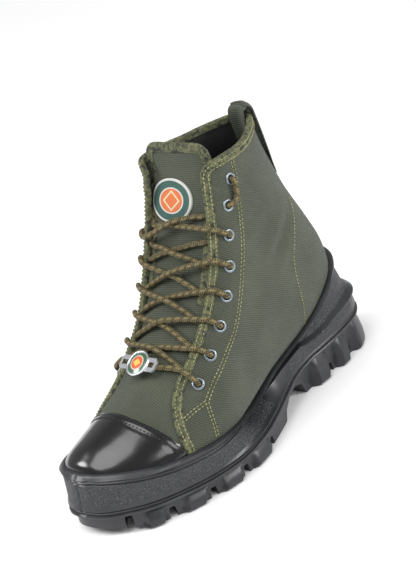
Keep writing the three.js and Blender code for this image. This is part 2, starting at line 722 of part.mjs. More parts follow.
// Half the width of the throat at a place along the boot
function throatHalf(x) {
  const after = quarterLine.findIndex((point) => point.x > x);
  if (after < 1) {
    return quarterLine[0].y;
  }
  const [from, to] = [quarterLine[after - 1], quarterLine[after]];
  return mix(from.y, to.y, (x - from.x) / (to.x - from.x));
}

// Where a walk over the surface from the inner edge of the tape reaches the eyelets of a row
function eyeletY(row, side) {
  const step = 0.25;
  let y = throatHalf(frontPoint(row, 0).x) + TAPE_WIDTH;
  let walked = 0;
  while (walked < EYELET_FROM_TAPE) {
    walked += frontPoint(row, side * y).distanceTo(frontPoint(row, side * (y + step)));
    y += step;
  }
  return y;
}

// Rows of the last at which the eyelets sit, from the top one down, at an even pitch
function eyeletRows(side) {
  const step = 0.02;
  let row = LAST_SECTIONS.length - 1;
  const spot = () => frontPoint(row, side * eyeletY(row, side));
  while (spot().z > COLLAR_HEIGHT - TOP_EYELET_BELOW_COLLAR) {
    row -= step;
  }
  const rows = [row];
  while (rows.length < EYELETS_PER_SIDE) {
    let walked = 0;
    while (walked < EYELET_PITCH) {
      const before = spot();
      row -= step;
      walked += before.distanceTo(spot());
    }
    rows.push(row);
  }
  return rows;
}
const EYELET_ROWS = { 1: eyeletRows(1), [-1]: eyeletRows(-1) };

// A solid stood at a point with its Z axis along a direction
function stand(solid, point, direction, along = vec(1, 0, 0)) {
  const z = direction.clone().normalize();
  const y = z.clone().cross(along).normalize();
  const x = y.clone().cross(z);
  const matrix = new THREE.Matrix4().makeBasis(x, y, z).setPosition(point);
  return solid.transform(matrix.toArray());
}

function ring(inner, outer, height, sides) {
  const profile = [[inner, 0], [outer, 0], [outer, height], [inner, height], [inner, 0]]
    .map(([radius, level]) => new THREE.Vector2(radius, level));
  const lathe = new THREE.LatheGeometry(profile, sides);
  lathe.rotateX(Math.PI / 2);
  return solidOf(lathe);
}
const eyeletRing = ring(EYELET_BORE / 2, EYELET_DIAMETER / 2, EYELET_THICKNESS, EYELET_SIDES);

const eyelets = [];
for (const [side, label] of [[1, "outer"], [-1, "inner"]]) {
  EYELET_ROWS[side].forEach((row, index) => {
    const { place, facing } = discSeat(row, side * eyeletY(row, side), EYELET_DIAMETER / 2);
    eyelets.push({ name: `eyelet_${label}_${index + 1}`, solid: stand(eyeletRing, place, facing) });
  });
}

// Binding: tape folded over the collar, round the facings and down the front edge of the quarters
const openEdges = (margin) => openTop(margin).add(windowCut(margin));

function bindingSolid() {
  const outside = QUARTER_STEP + SEAT_GAP;
  const inside = CANVAS_WALL + SEAT_GAP;
  const layers = lastForm(outside + TAPE_THICKNESS).subtract(lastForm(-inside - TAPE_THICKNESS));
  const wall = lastForm(outside).subtract(lastForm(-inside)).subtract(openEdges(-SEAT_GAP));
  const vampBlock = prism("side", [
    [THROAT_FRONT - 4 * SEAT_GAP, INSTEP_HEIGHT * 0.55],
    [THROAT_FRONT - 4 * SEAT_GAP, INSTEP_HEIGHT],
    [SOLE_LENGTH, INSTEP_HEIGHT],
    [SOLE_LENGTH, 0],
    [THROAT_BACK, 0],
    [THROAT_BACK, INSTEP_HEIGHT * 0.55],
  ], -BALL_WIDTH, BALL_WIDTH).intersect(lastForm(SEAT_GAP));
  const tongueRoom = tongueForm(SEAT_GAP)
    .subtract(tongueForm(-TONGUE_THICKNESS - SEAT_GAP))
    .intersect(tongueRegion());
  return layers
    .intersect(openEdges(TAPE_WIDTH).subtract(openEdges(-SEAT_GAP - TAPE_THICKNESS)))
    .subtract(wall)
    .subtract(vampBlock)
    .subtract(tongueRoom)
    .subtract(soleBlank.translate([0, 0, SEAT_GAP]));
}
const binding = bindingSolid();

// Pull loop: webbing that stands up from inside the collar and comes down the back
function backWall(height, y) {
  caster.set(vec(-BALL_WIDTH, y, Math.min(height, COLLAR_HEIGHT)), vec(1, 0, 0));
  return caster.intersectObject(quarterMesh)[0].point.x;
}

function pullLoop() {
  const legs = { 1: LOOP_INNER_LEG, [-1]: LOOP_OUTER_LEG };
  const edge = { 1: LOOP_WIDTH / 2, [-1]: 0 };
  const clear = {
    1: (QUARTER_STEP + CANVAS_WALL + TAPE_THICKNESS + 3 * SEAT_GAP) * WALL_SLANT,
    [-1]: 3 * SEAT_GAP,
  };
  const line = LOOP_LINE.map(({ side, rise, bow }) => {
    const height = COLLAR_HEIGHT + rise * (rise > 0 ? LOOP_RISE : legs[side]);
    const out = clear[side] + LOOP_THICKNESS / 2 + bow * LOOP_BOW;
    return new THREE.Vector2(backWall(height, edge[side]) + side * out, height);
  });
  const curve = new THREE.SplineCurve(line);
  const steps = 18;
  const sideLine = (side) => Array.from({ length: steps + 1 }, (_, step) => {
    const point = curve.getPoint(step / steps);
    const run = curve.getTangent(step / steps);
    return [point.x - side * run.y * LOOP_THICKNESS / 2, point.y + side * run.x * LOOP_THICKNESS / 2];
  });
  const outline = [...sideLine(1), ...sideLine(-1).reverse()];
  return prism("side", outline, -LOOP_WIDTH / 2, LOOP_WIDTH / 2);
}

// Round patch sewn on the tongue
function tonguePatch() {
  const circle = Array.from({ length: 20 }, (_, step) => {
    const angle = (Math.PI / 10) * step;
    return [
      -PATCH_TO_INNER_SIDE + Math.cos(angle) * PATCH_WIDTH / 2,
      COLLAR_HEIGHT - PATCH_BELOW_COLLAR + Math.sin(angle) * PATCH_HEIGHT / 2,
    ];
  });
  const disc = prism("front", circle, THROAT_BACK, SOLE_LENGTH / 2);
  return tongueForm(SEAT_GAP + PATCH_THICKNESS).subtract(tongueForm(SEAT_GAP)).intersect(disc);
}

// Lace. A strand runs over the tongue from one throat edge and over the other facing to its eyelet.
const LACE_RADIUS = LACE_DIAMETER / 2;
const laceLow = (row) => LACE_RADIUS + PATCH_THICKNESS + 3 * SEAT_GAP - tongueDepth(row);
const LACE_OVER_EDGE = QUARTER_STEP + TAPE_THICKNESS + 3 * SEAT_GAP + LACE_RADIUS;
const BAR_LIFT = LACE_RADIUS + 6 * SEAT_GAP;
const LACE_OVER_EYELET = LACE_OVER_EDGE + EYELET_THICKNESS + 3 * SEAT_GAP;

function lacePoint(row, y, lift) {
  return frontPoint(row, y).addScaledVector(frontNormal(row, y), lift);
}

function tube(points) {
  const curve = new THREE.CatmullRomCurve3(points, false, "centripetal");
  const section = new THREE.Shape();
  section.absarc(0, 0, LACE_RADIUS, 0, 2 * Math.PI);
  const geometry = new THREE.ExtrudeGeometry(section, {
    steps: points.length,
    curveSegments: LACE_SIDES / 2,
    extrudePath: curve,
    bevelEnabled: false,
  });
  return solidOf(geometry);
}

// Outer end of a strand: over the throat's edge and the facing to an eyelet
function overFacing(side, index, other) {
  const row = (share) => mix(EYELET_ROWS[side][index], EYELET_ROWS[side][other], share);
  const edge = throatHalf(frontPoint(row(0), 0).x);
  return [
    lacePoint(row(0), side * eyeletY(row(0), side), LACE_OVER_EYELET),
    lacePoint(row(0.1), side * (edge + TAPE_WIDTH / 2), LACE_OVER_EDGE + SEAT_GAP),
    lacePoint(row(0.2), side * (edge - LACE_RADIUS), LACE_OVER_EDGE),
  ];
}

// Inner end of a strand: beside the throat's edge, where it leaves from under the facing
function underFacing(side, index, other, share) {
  const row = mix(EYELET_ROWS[side][index], EYELET_ROWS[side][other], share);
  const y = side * (throatHalf(frontPoint(row, 0).x) - TAPE_THICKNESS - 3 * SEAT_GAP - LACE_RADIUS);
  return [lacePoint(row, y, laceLow(row)), lacePoint(row, y * 0.6, laceLow(row) + LACE_RADIUS / 2)];
}

// A crossing between the eyelet numbered lower and the one above it, counted from the top.
// from, to: whether its strands run over or under the facing at their lower and upper ends.
// share: how far towards the other eyelet a strand passes under the edge.
const CROSSINGS = table(["from", "to", "lower", "share"], [
  ["under", "over", 7, 0.22],
  ["under", "over", 6, 0.22],
  ["under", "over", 5, 0.22],
  ["under", "over", 4, 0.22],
  ["under", "under", 3, 0.2],
  ["over", "under", 2, 0.5],
]);

// Row of the last midway between the two eyelets of a number
const middleRow = (index) => (EYELET_ROWS[1][index] + EYELET_ROWS[-1][index]) / 2;

function laceStrand({ from, to, lower, share }, side) {
  const end = { over: overFacing, under: underFacing };
  const row = mix(middleRow(lower), middleRow(lower - 1), 0.5) - CROSSING_DROP;
  const lifts = { under: laceLow(row) + LACE_RADIUS, over: LACE_OVER_EDGE };
  const centre = lacePoint(row, 0, (lifts[from] + lifts[to]) / 2);
  const start = end[from](side, lower, lower - 1, share);
  const finish = end[to](-side, lower - 1, lower, share);
  return tube([...start, centre, ...finish.reverse()]);
}

const laceCrossing = (crossing) => laceStrand(crossing, 1).add(laceStrand(crossing, -1));

function bottomBar() {
  const index = EYELETS_PER_SIDE - 1;
  const middle = lacePoint(middleRow(index) - BAR_DROP, 0, BAR_LIFT);
  return tube([...overFacing(-1, index, index), middle, ...overFacing(1, index, index).reverse()]);
}

function uprightBar(side) {
  const [top, below] = EYELET_ROWS[side];
  const at = (row) => lacePoint(row, side * eyeletY(row, side), LACE_OVER_EYELET);
  return tube([at(below), at((top + below) / 2), at(top)]);
}

// Tag on the bottom bar: a disc with a slotted wing on each side
function laceTag() {
  const row = middleRow(EYELETS_PER_SIDE - 1) - BAR_DROP;
  const radius = TAG_DIAMETER / 2;
  const wingAngle = Math.asin(TAG_WING / TAG_DIAMETER);
  const arc = [0, 1, 2, 3, 4, 5, 6].map((step) => mix(wingAngle, Math.PI - wingAngle, step / 6));
  const top = arc.map((angle) => [radius * Math.cos(angle), radius * Math.sin(angle)]);
  const half = [
    [TAG_LENGTH / 2, TAG_WING * 0.3],
    [TAG_LENGTH / 2 - 2, TAG_WING / 2],
    ...top,
    [2 - TAG_LENGTH / 2, TAG_WING / 2],
    [-TAG_LENGTH / 2, TAG_WING * 0.3],
  ];
  const outline = [...half, ...half.map(([x, y]) => [x, -y]).reverse()];
  const slot = (side) => prism("plan", [
    [side * (radius + 1.5), -LACE_RADIUS],
    [side * (TAG_LENGTH / 2 - 2.2), -LACE_RADIUS],
    [side * (TAG_LENGTH / 2 - 2.2), LACE_RADIUS],
    [side * (radius + 1.5), LACE_RADIUS],
  ], -TAG_THICKNESS, 2 * TAG_THICKNESS);
  const plate = prism("plan", outline, 0, TAG_THICKNESS).subtract(slot(1)).subtract(slot(-1));
  const lift = BAR_LIFT + LACE_RADIUS + SEAT_GAP;
  const y = -TAG_TO_INNER_SIDE;
  return stand(plate, lacePoint(row, y, lift), frontNormal(row, y), vec(0, 1, 0));
}

const group = new THREE.Group();

// The largest body of a cut, without the crumbs that a cut along a curved wall can leave
function mainBody(solid) {
  return solid.decompose().reduce((best, next) => (next.volume() > best.volume() ? next : best));
}

function add(name, solid, material) {
  const mesh = new THREE.Mesh(geometryOf(mainBody(solid)), material);
  mesh.name = name;
  group.add(mesh);
}

add("sole", sole, RUBBER);
add("insole", insole, BOARD);
add("upper", upper, CANVAS);
add("toe_cap", toeCap, LEATHER);
add("tongue", tongue, CANVAS_TONGUE);
add("binding", binding, TAPE);
add("pull_loop", pullLoop(), WEBBING);
add("tongue_patch", tonguePatch(), PATCH);
for (const { name, solid } of eyelets) {
  add(name, solid, STEEL);
}
CROSSINGS.forEach((crossing, index) => add(`lace_crossing_${index + 1}`, laceCrossing(crossing), LACE_CORD));
add("lace_bar_bottom", bottomBar(), LACE_CORD);
add("lace_bar_outer", uprightBar(1), LACE_CORD);
add("lace_bar_inner", uprightBar(-1), LACE_CORD);
add("lace_tag", laceTag(), SILVER);

// The part's origin is under the middle of the boot
const bounds = new THREE.Box3().setFromObject(group);
const middle = bounds.getCenter(vec(0, 0, 0));
group.position.set(-middle.x, -middle.y, -bounds.min.z);

export default group;
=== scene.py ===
"""Jungle boot for the left foot: the dressed model over its fixed frame.

All shapes are worked out in millimetres in the last's own frame and written in metres.
"""
import logging
import math
from dataclasses import dataclass
from enum import Enum
from typing import Sequence

import bpy
import numpy as np
from mathutils import Matrix, Vector
from mathutils.bvhtree import BVHTree


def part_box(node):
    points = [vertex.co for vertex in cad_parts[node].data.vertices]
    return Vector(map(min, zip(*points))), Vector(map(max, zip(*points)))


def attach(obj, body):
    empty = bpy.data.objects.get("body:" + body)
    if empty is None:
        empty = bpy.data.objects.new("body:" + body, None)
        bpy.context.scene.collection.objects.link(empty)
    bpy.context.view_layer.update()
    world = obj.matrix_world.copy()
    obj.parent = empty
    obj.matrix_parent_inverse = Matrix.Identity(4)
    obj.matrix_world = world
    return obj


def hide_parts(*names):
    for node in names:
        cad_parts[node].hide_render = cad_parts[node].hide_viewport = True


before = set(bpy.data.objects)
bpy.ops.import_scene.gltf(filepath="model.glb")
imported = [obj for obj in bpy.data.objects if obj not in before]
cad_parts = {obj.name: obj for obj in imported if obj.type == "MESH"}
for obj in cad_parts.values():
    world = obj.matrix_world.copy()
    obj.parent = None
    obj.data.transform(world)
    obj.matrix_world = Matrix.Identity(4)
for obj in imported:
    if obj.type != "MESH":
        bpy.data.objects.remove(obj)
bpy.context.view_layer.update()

LOG = logging.getLogger("boot")
Array = np.ndarray

# Where the last's frame lies in the part's own frame
ORIGIN = np.array([149.27, 1.57, 0.0])
MM = 0.001

# The last: back x, back rise, front x, front rise, centre, half width, widest, back round, front round
LAST_SECTIONS = (
    (0.97, 1.03, 0.97, 0.45, -0.095, 0.075, 0.5, 2, 2),
    (0.963, 1.005, 0.963, 0.49, -0.095, 0.145, 0.47, 2.2, 2),
    (0.949, 0.92, 0.949, 0.52, -0.09, 0.208, 0.45, 2.4, 1.85),
    (0.924, 0.82, 0.924, 0.56, -0.076, 0.27, 0.42, 2.6, 1.7),
    (0.884, 0.74, 0.884, 0.602, -0.05, 0.33, 0.38, 2.8, 1.65),
    (0.834, 0.68, 0.835, 0.65, -0.028, 0.378, 0.35, 3, 1.65),
    (0.775, 0.65, 0.778, 0.71, -0.014, 0.42, 0.33, 3, 1.75),
    (0.709, 0.65, 0.721, 0.785, 0, 0.45, 0.33, 3, 1.95),
    (0.639, 0.69, 0.666, 0.885, 0.012, 0.45, 0.36, 3, 2.3),
    (0.563, 0.76, 0.617, 0.995, 0.019, 0.417, 0.42, 3, 2.8),
    (0.483, 0.83, 0.577, 1.107, 0.013, 0.399, 0.48, 2.9, 3.4),
    (0.397, 0.9, 0.546, 1.232, 0.007, 0.391, 0.54, 2.8, 4),
    (0.305, 0.95, 0.521, 1.366, 0.003, 0.385, 0.57, 2.8, 4.3),
    (0.212, 0.98, 0.501, 1.5, 0.001, 0.379, 0.59, 2.8, 4.5),
    (0.126, 1, 0.486, 1.622, 0.001, 0.37, 0.6, 2.6, 4.5),
    (0.06, 1.03, 0.476, 1.724, -0.002, 0.363, 0.6, 2.4, 4.5),
    (0.027, 1.1, 0.469, 1.8, -0.001, 0.353, 0.6, 2.2, 4.5),
    (0.018, 1.19, 0.466, 1.858, -0.007, 0.352, 0.6, 2.1, 4.4),
    (0.025, 1.29, 0.464, 1.906, -0.006, 0.345, 0.61, 2, 3.8),
    (0.045, 1.4, 0.462, 1.95, -0.01, 0.339, 0.62, 1.9, 3.8),
    (0.072, 1.515, 0.461, 1.993, -0.014, 0.334, 0.64, 1.8, 3.8),
    (0.097, 1.63, 0.46, 2.037, -0.017, 0.33, 0.66, 1.7, 3.8),
    (0.118, 1.75, 0.459, 2.082, -0.018, 0.327, 0.68, 1.6, 3.8),
    (0.135, 1.875, 0.458, 2.132, -0.017, 0.324, 0.7, 1.5, 3.8),
    (0.147, 2.01, 0.456, 2.182, -0.017, 0.323, 0.72, 1.5, 3.8),
    (0.158, 2.16, 0.456, 2.25, 0.005, 0.323, 0.73, 1.5, 3.8),
)
LAST_ROWS = len(LAST_SECTIONS) - 1

# The sole's widest line: x, y, ridge, cup, shelf
SOLE_LINE = (
    (1.003, -0.13, 0.64, 0.63, 0), (0.987, 0.036, 0.6, 0.63, 0), (0.953, 0.155, 0.57, 0.615, 0),
    (0.899, 0.28, 0.53, 0.575, 0), (0.838, 0.37, 0.5, 0.535, 0), (0.752, 0.464, 0.48, 0.5, 0),
    (0.659, 0.514, 0.48, 0.482, 0), (0.573, 0.502, 0.52, 0.485, 0), (0.497, 0.455, 0.58, 0.51, 0),
    (0.417, 0.392, 0.67, 0.545, 0.2), (0.354, 0.352, 0.76, 0.58, 0.7), (0.288, 0.342, 0.82, 0.635, 1),
    (0.23, 0.354, 0.85, 0.7, 1), (0.172, 0.364, 0.88, 0.78, 1), (0.115, 0.36, 0.91, 0.86, 1),
    (0.06, 0.335, 0.94, 0.925, 1), (0.008, 0.24, 0.98, 0.98, 1), (-0.016, 0.03, 1, 1, 1),
    (0.006, -0.19, 0.98, 0.98, 1), (0.062, -0.295, 0.94, 0.925, 1), (0.13, -0.33, 0.9, 0.84, 1),
    (0.21, -0.332, 0.86, 0.73, 1), (0.285, -0.317, 0.82, 0.645, 1), (0.354, -0.303, 0.76, 0.59, 0.7),
    (0.417, -0.303, 0.68, 0.555, 0.2), (0.497, -0.335, 0.6, 0.525, 0), (0.573, -0.397, 0.54, 0.505, 0),
    (0.649, -0.458, 0.5, 0.5, 0), (0.725, -0.486, 0.5, 0.505, 0), (0.802, -0.482, 0.51, 0.525, 0),
    (0.872, -0.452, 0.54, 0.56, 0), (0.928, -0.398, 0.57, 0.59, 0), (0.97, -0.312, 0.6, 0.615, 0),
    (0.995, -0.228, 0.62, 0.625, 0),
)

# Front edge of the quarters: behind the cap's seam in shares of the sole, out in shares of the throat
QUARTER_FRONT = (
    (0.391, 1), (0.358, 1.14), (0.315, 1.24), (0.238, 1.22), (0.166, 1.16), (0.129, 1.08), (0.099, 1.1),
    (0.073, 1.2), (0.051, 1.4), (0.036, 1.68), (0.036, 1.92), (0.05, 2.24), (0.073, 2.64),
)
# Places of the grooves along the sole and outlines of the toe spring, the arch, the collar and the loop
LUG_GROOVES = (0.955, 0.868, 0.768, 0.66, 0.54, 0.2, 0.11)
TOE_CURVE = ((0.83, 0), (0.9, 0.17), (0.95, 0.48), (0.98, 0.78), (1.02, 1.25))
ARCH_CURVE = ((0.305, -0.03), (0.322, 0.33), (0.35, 0.42), (0.39, 0.4), (0.425, 0.25), (0.445, -0.03))
COLLAR_LINE = ((-0.2, 1.008), (0.14, 1.008), (0.2, 1), (0.28, 0.993), (0.38, 1), (1, 1))
LOOP_LINE = (
    (1, -1, 0), (1, -0.5, 0), (1, -0.1, 0.02), (1, 0.4, 0.02), (1, 0.8, -0.3),
    (-1, 1, -0.5), (-1, 0.72, 0.2), (-1, 0.15, 0.55), (-1, -0.22, 0.66), (-1, -0.45, 0.6),
    (-1, -0.65, 0.42), (-1, -0.83, 0.18), (-1, -1, 0),
)

# Lengths in millimetres that several pieces share
FAR = 99.0
THREAD_RADIUS = 0.42
TONGUE_WALL = 2.2
TONGUE_SET_BACK = 9
HOLE_RADIUS = 3.0
BRAID_PITCH = 3.4
BRAID_GIRTH = 12.4
LACE_STEP = 0.8
TAPE_STEP = 1.4
DOME_RADIUS = 8.3

# Seams of the outer side in millimetres: x and height
EYESTAY_SEAM = (
    (110, 214), (112, 197), (118, 180), (125, 160), (135, 140), (148, 119), (163, 101), (182, 88),
    (198, 78), (211, 68),
)
SEAM_TO_TAPE = ((211, 68), (221, 66), (231, 63))
SEAM_TO_SOLE = ((211, 68), (214, 57), (215.5, 42))
COUNTER_SEAM = ((50, 150), (61, 138), (71, 126), (78, 111), (81, 97), (81, 84), (80, 68), (79, 52))


def lerp(start: Array | float, end: Array | float, share: Array | float) -> Array | float:
    """A value between two others."""
    return start + (end - start) * share


def smooth_step(value: Array | float, low: float, high: float) -> Array | float:
    """0 below low, 1 above high, and a smooth rise between them."""
    share = np.clip((np.asarray(value, dtype=float) - low) / (high - low), 0, 1)
    return share * share * (3 - 2 * share)


def unit(vectors: Array) -> Array:
    """Vectors at length one."""
    return vectors / np.maximum(np.linalg.norm(vectors, axis=-1, keepdims=True), 1e-9)


def cubic(values: Array, places: Array, closed: bool = False) -> Array:
    """A smooth curve through a table's values.

    Args:
        values: one value or row per entry of the table.
        places: where to read it, in entries.
        closed: whether the last entry joins the first.

    Returns:
        One value or row per place.
    """
    last = len(values) - 1
    if closed:
        start = np.floor(places).astype(int)
        pick = [(start + step) % (last + 1) for step in (-1, 0, 1, 2)]
    else:
        start = np.clip(np.floor(places).astype(int), 0, last - 1)
        pick = [np.clip(start + step, 0, last) for step in (-1, 0, 1, 2)]
    before, first, second, after = (values[index] for index in pick)
    share = places - start
    if values.ndim > 1:
        share = share[:, None]
    square, cube = share**2, share**3
    return ((2 * cube - 3 * square + 1) * first + (cube - 2 * square + share) * (second - before) / 2
            + (3 * square - 2 * cube) * second + (cube - square) * (after - first) / 2)


def uneven(knots: Array, start: Array, shares: Array, closed: bool = False) -> Array:
    """A smooth curve through unevenly spaced knots, without loops.

    Args:
        knots: the points that it passes.
        start: number of the knot before each place.
        shares: how far each place lies towards the next knot.
        closed: whether the last knot joins the first.

    Returns:
        One point per place.
    """
    count = len(knots)
    pick = [(start + step) % count if closed else np.clip(start + step, 0, count - 1) for step in (-1, 0, 1, 2)]
    before, first, second, after = (knots[index] for index in pick)
    gap0, gap1, gap2 = (np.sqrt(np.linalg.norm(b - a, axis=1))[:, None]
                        for a, b in ((before, first), (first, second), (second, after)))
    gap0, gap2 = np.where(gap0 > 0, gap0, gap1), np.where(gap2 > 0, gap2, gap1)
    share = shares[:, None]
    slope1 = ((first - before) / gap0 - (second - before) / (gap0 + gap1) + (second - first) / gap1) * gap1
    slope2 = ((second - first) / gap1 - (after - first) / (gap1 + gap2) + (after - second) / gap2) * gap1
    return (first + slope1 * share + (3 * (second - first) - 2 * slope1 - slope2) * share**2
            + (2 * (first - second) + slope1 + slope2) * share**3)


def resample(points: Array, pitch: float, closed: bool = False) -> Array:
    """Points at an even pitch along a polyline."""
    line = np.vstack([points, points[:1]]) if closed else points
    steps = np.linalg.norm(np.diff(line, axis=0), axis=1)
    along = np.concatenate([[0], np.cumsum(steps)])
    count = max(2, int(round(along[-1] / pitch)) + 1)
    places = np.linspace(0, along[-1], count)
    return np.stack([np.interp(places, along, line[:, axis]) for axis in range(line.shape[1])], axis=1)


def smoothed(points: Array, rounds: int) -> Array:
    """A polyline with its wiggles taken out, its ends kept."""
    line = points.copy()
    for _ in range(rounds):
        line[1:-1] = (line[:-2] + 2 * line[1:-1] + line[2:]) / 4
    return line


def spline(points: Sequence[Sequence[float]], pitch: float) -> Array:
    """A smooth line through a few points, at an even pitch."""
    table = np.array(points, dtype=float)
    return resample(cubic(table, np.linspace(0, len(table) - 1, 12 * len(table))), pitch)


@dataclass(frozen=True)
class Sizes:
    """Driving sizes of the boot in millimetres."""

    sole_length: float = 302
    ball_width: float = 111
    heel_height: float = 35
    instep_height: float = 112
    collar_height: float = 215
    canvas_wall: float = 1.9
    quarter_step: float = 1.1
    cap_leather: float = 1.6
    gap: float = 0.3
    throat_half: float = 25
    throat_corner: float = 11
    window_bottom: float = 40
    throat_behind_seam: float = 36
    tape_width: float = 6.5
    tape_thick: float = 0.8
    waist_dip: float = 5.0
    cap_length: float = 51
    cap_bow: float = 12
    cup_height: float = 83
    ridge_height: float = 33
    toe_spring: float = 9
    bead: float = 4.6
    bead_height: float = 7

    @property
    def cap_seam(self) -> float:
        """Middle of the toe cap's seam."""
        return self.sole_length - self.cap_length

    @property
    def throat_front(self) -> float:
        """Where the tongue meets the vamp."""
        return self.cap_seam - self.throat_behind_seam

    @property
    def throat_back(self) -> float:
        """Behind this the collar has no notch."""
        return 0.34 * self.sole_length


SIZES = Sizes()


class Last:
    """The foot's form, as sections that fan from the toe to the collar."""

    def __init__(self, sizes: Sizes) -> None:
        """Turns the shares of the table into millimetres."""
        table = np.array(LAST_SECTIONS, dtype=float)
        heel, instep, collar = sizes.heel_height, sizes.instep_height, sizes.collar_height
        back, front = table[:, 1], table[:, 3]
        self.sizes = sizes
        self.table = np.column_stack([
            table[:, 0] * sizes.sole_length,
            np.where(back <= 1, back * heel, heel + (collar - heel) * (back - 1)),
            table[:, 2] * sizes.sole_length,
            np.where(front <= 1, front * instep, instep + (collar - instep) * (front - 1)),
            table[:, 4] * sizes.ball_width,
            table[:, 5] * sizes.ball_width,
            table[:, 6:],
        ])

    def read(self, rows: Array) -> Array:
        """The table's columns at rows that may lie between its own."""
        return cubic(self.table, np.atleast_1d(np.asarray(rows, dtype=float)))

    def ring(self, section: Array, count: int) -> Array:
        """Points of one section, evenly spaced on each side, from its back round the outer side."""
        back_x, back_z, front_x, front_z, centre, half, widest, back_round, front_round = section
        turn = np.linspace(0, math.pi, 721)
        cos, sin = -np.cos(turn), np.sin(turn)
        power = np.where(cos < 0, back_round, front_round)
        size = (np.abs(cos)**power + np.abs(sin)**power)**(-1 / power)
        along, side = cos * size, np.abs(sin) * size
        share = np.where(along < 0, widest * (1 + along), lerp(widest, 1, along))
        line = np.column_stack([lerp(back_x, front_x, share), half * side, lerp(back_z, front_z, share)])
        steps = np.linalg.norm(np.diff(line, axis=0), axis=1)
        length = np.concatenate([[0], np.cumsum(steps)])
        places = np.linspace(0, length[-1], count // 2 + 1)
        outer = np.stack([np.interp(places, length, line[:, axis]) for axis in range(3)], axis=1)
        inner = outer[-2:0:-1] * [1, -1, 1]
        ring = np.vstack([outer, inner])
        ring[:, 1] += centre
        return ring

    def front(self, row: float, y: float) -> Array:
        """A point of the front or top at a row and a distance to one side."""
        back_x, back_z, front_x, front_z, centre, half, widest, _, rounding = self.read(row)[0]
        share = min(abs(y - centre) / half, 1)
        reach = (1 - share**rounding)**(1 / rounding)
        along = lerp(widest, 1, reach)
        return np.array([lerp(back_x, front_x, along), y, lerp(back_z, front_z, along)])

    def front_normal(self, row: float, y: float) -> Array:
        """Outward direction at such a point."""
        along = self.front(row - 0.3, y) - self.front(row + 0.3, y)
        across = self.front(row, y + 1) - self.front(row, y - 1)
        return -unit(np.cross(across, along))

    def lifted(self, row: float, y: float, lift: float) -> Array:
        """A point of the front, lifted off the surface."""
        return self.front(row, y) + self.front_normal(row, y) * lift


class Sheet:
    """A triangle sheet whose points carry their outward direction and their row of the last."""

    def __init__(self, data: Array, triangles: Array) -> None:
        """Args: data: x, y, z, normal x, y, z and row of each point. triangles: three points each."""
        self.data = data
        self.triangles = triangles

    @property
    def points(self) -> Array:
        """Places of the points."""
        return self.data[:, :3]

    @property
    def normals(self) -> Array:
        """Outward directions."""
        return unit(self.data[:, 3:6])

    @property
    def rows(self) -> Array:
        """Row of the last of each point."""
        return self.data[:, 6]

    def moved(self, distance: Array | float) -> Array:
        """The points pushed outward by a distance."""
        return self.points + self.normals * (np.asarray(distance) * np.ones(len(self.data)))[:, None]

    def clip(self, values: Array) -> "Sheet":
        """Keeps the side of the sheet on which a value is above zero, cut along its zero line.

        Args:
            values: one value per point.

        Returns:
            The sheet that is left.
        """
        inside = values[self.triangles] > 0
        count = inside.sum(axis=1)
        kept = [self.triangles[count == 3]]
        data = [self.data]
        made: dict[tuple[int, int], int] = {}
        extra: list[Array] = []
        total = len(self.data)

        def cut(first: int, second: int) -> int:
            key = (first, second) if first < second else (second, first)
            if key not in made:
                low, high = values[key[0]], values[key[1]]
                extra.append(lerp(self.data[key[0]], self.data[key[1]], low / (low - high)))
                made[key] = total + len(extra) - 1
            return made[key]

        mixed = (count == 1) | (count == 2)
        cuts = []
        for triangle, flags in zip(self.triangles[mixed], inside[mixed]):
            alone = int(np.argmax(flags)) if flags.sum() == 1 else int(np.argmin(flags))
            first, second, third = (int(triangle[(alone + step) % 3]) for step in range(3))
            near, far = cut(first, second), cut(first, third)
            if flags.sum() == 1:
                cuts.append((first, near, far))
            else:
                cuts += [(near, second, third), (near, third, far)]
        if extra:
            data.append(np.array(extra))
            kept.append(np.array(cuts))
        rows, triangles = np.vstack(data), np.vstack(kept)
        used, inverse = np.unique(triangles, return_inverse=True)
        return Sheet(rows[used], inverse.reshape(-1, 3))

    def rim(self) -> Array:
        """Edges that only one triangle has, in that triangle's direction."""
        edges = np.vstack([self.triangles[:, [0, 1]], self.triangles[:, [1, 2]], self.triangles[:, [2, 0]]])
        keys = np.sort(edges, axis=1)
        _, index, count = np.unique(keys, axis=0, return_index=True, return_counts=True)
        return edges[index[count == 1]]

    def shell(self, outer: Array | float, inner: Array | float) -> tuple[Array, list]:
        """A closed solid between two distances from the sheet.

        Args:
            outer: distance of the outer face.
            inner: distance of the inner face.

        Returns:
            Points and faces.
        """
        count = len(self.data)
        points = np.vstack([self.moved(outer), self.moved(inner)])
        edges = self.rim()
        start, end = edges[:, 0], edges[:, 1]
        walls = np.vstack([
            np.column_stack([end, start, start + count]), np.column_stack([end, start + count, end + count]),
        ])
        faces = np.vstack([self.triangles, self.triangles[:, ::-1] + count, walls])
        return points, faces.tolist()

    def edge_lines(self, values: Array, limit: float = 0.02) -> list[Array]:
        """Lines of the rim along which a value is near zero, longest first."""
        edges = [tuple(edge) for edge in self.rim() if np.abs(values[edge]).max() < limit]
        following = dict(edges)
        starts = [first for first, _ in edges if first not in set(following.values())]
        lines = []
        for start in starts:
            line = [start]
            while line[-1] in following and len(line) < 20000:
                line.append(following[line[-1]])
            lines.append(np.array(line))
        return [self.data[line] for line in sorted(lines, key=len, reverse=True)]


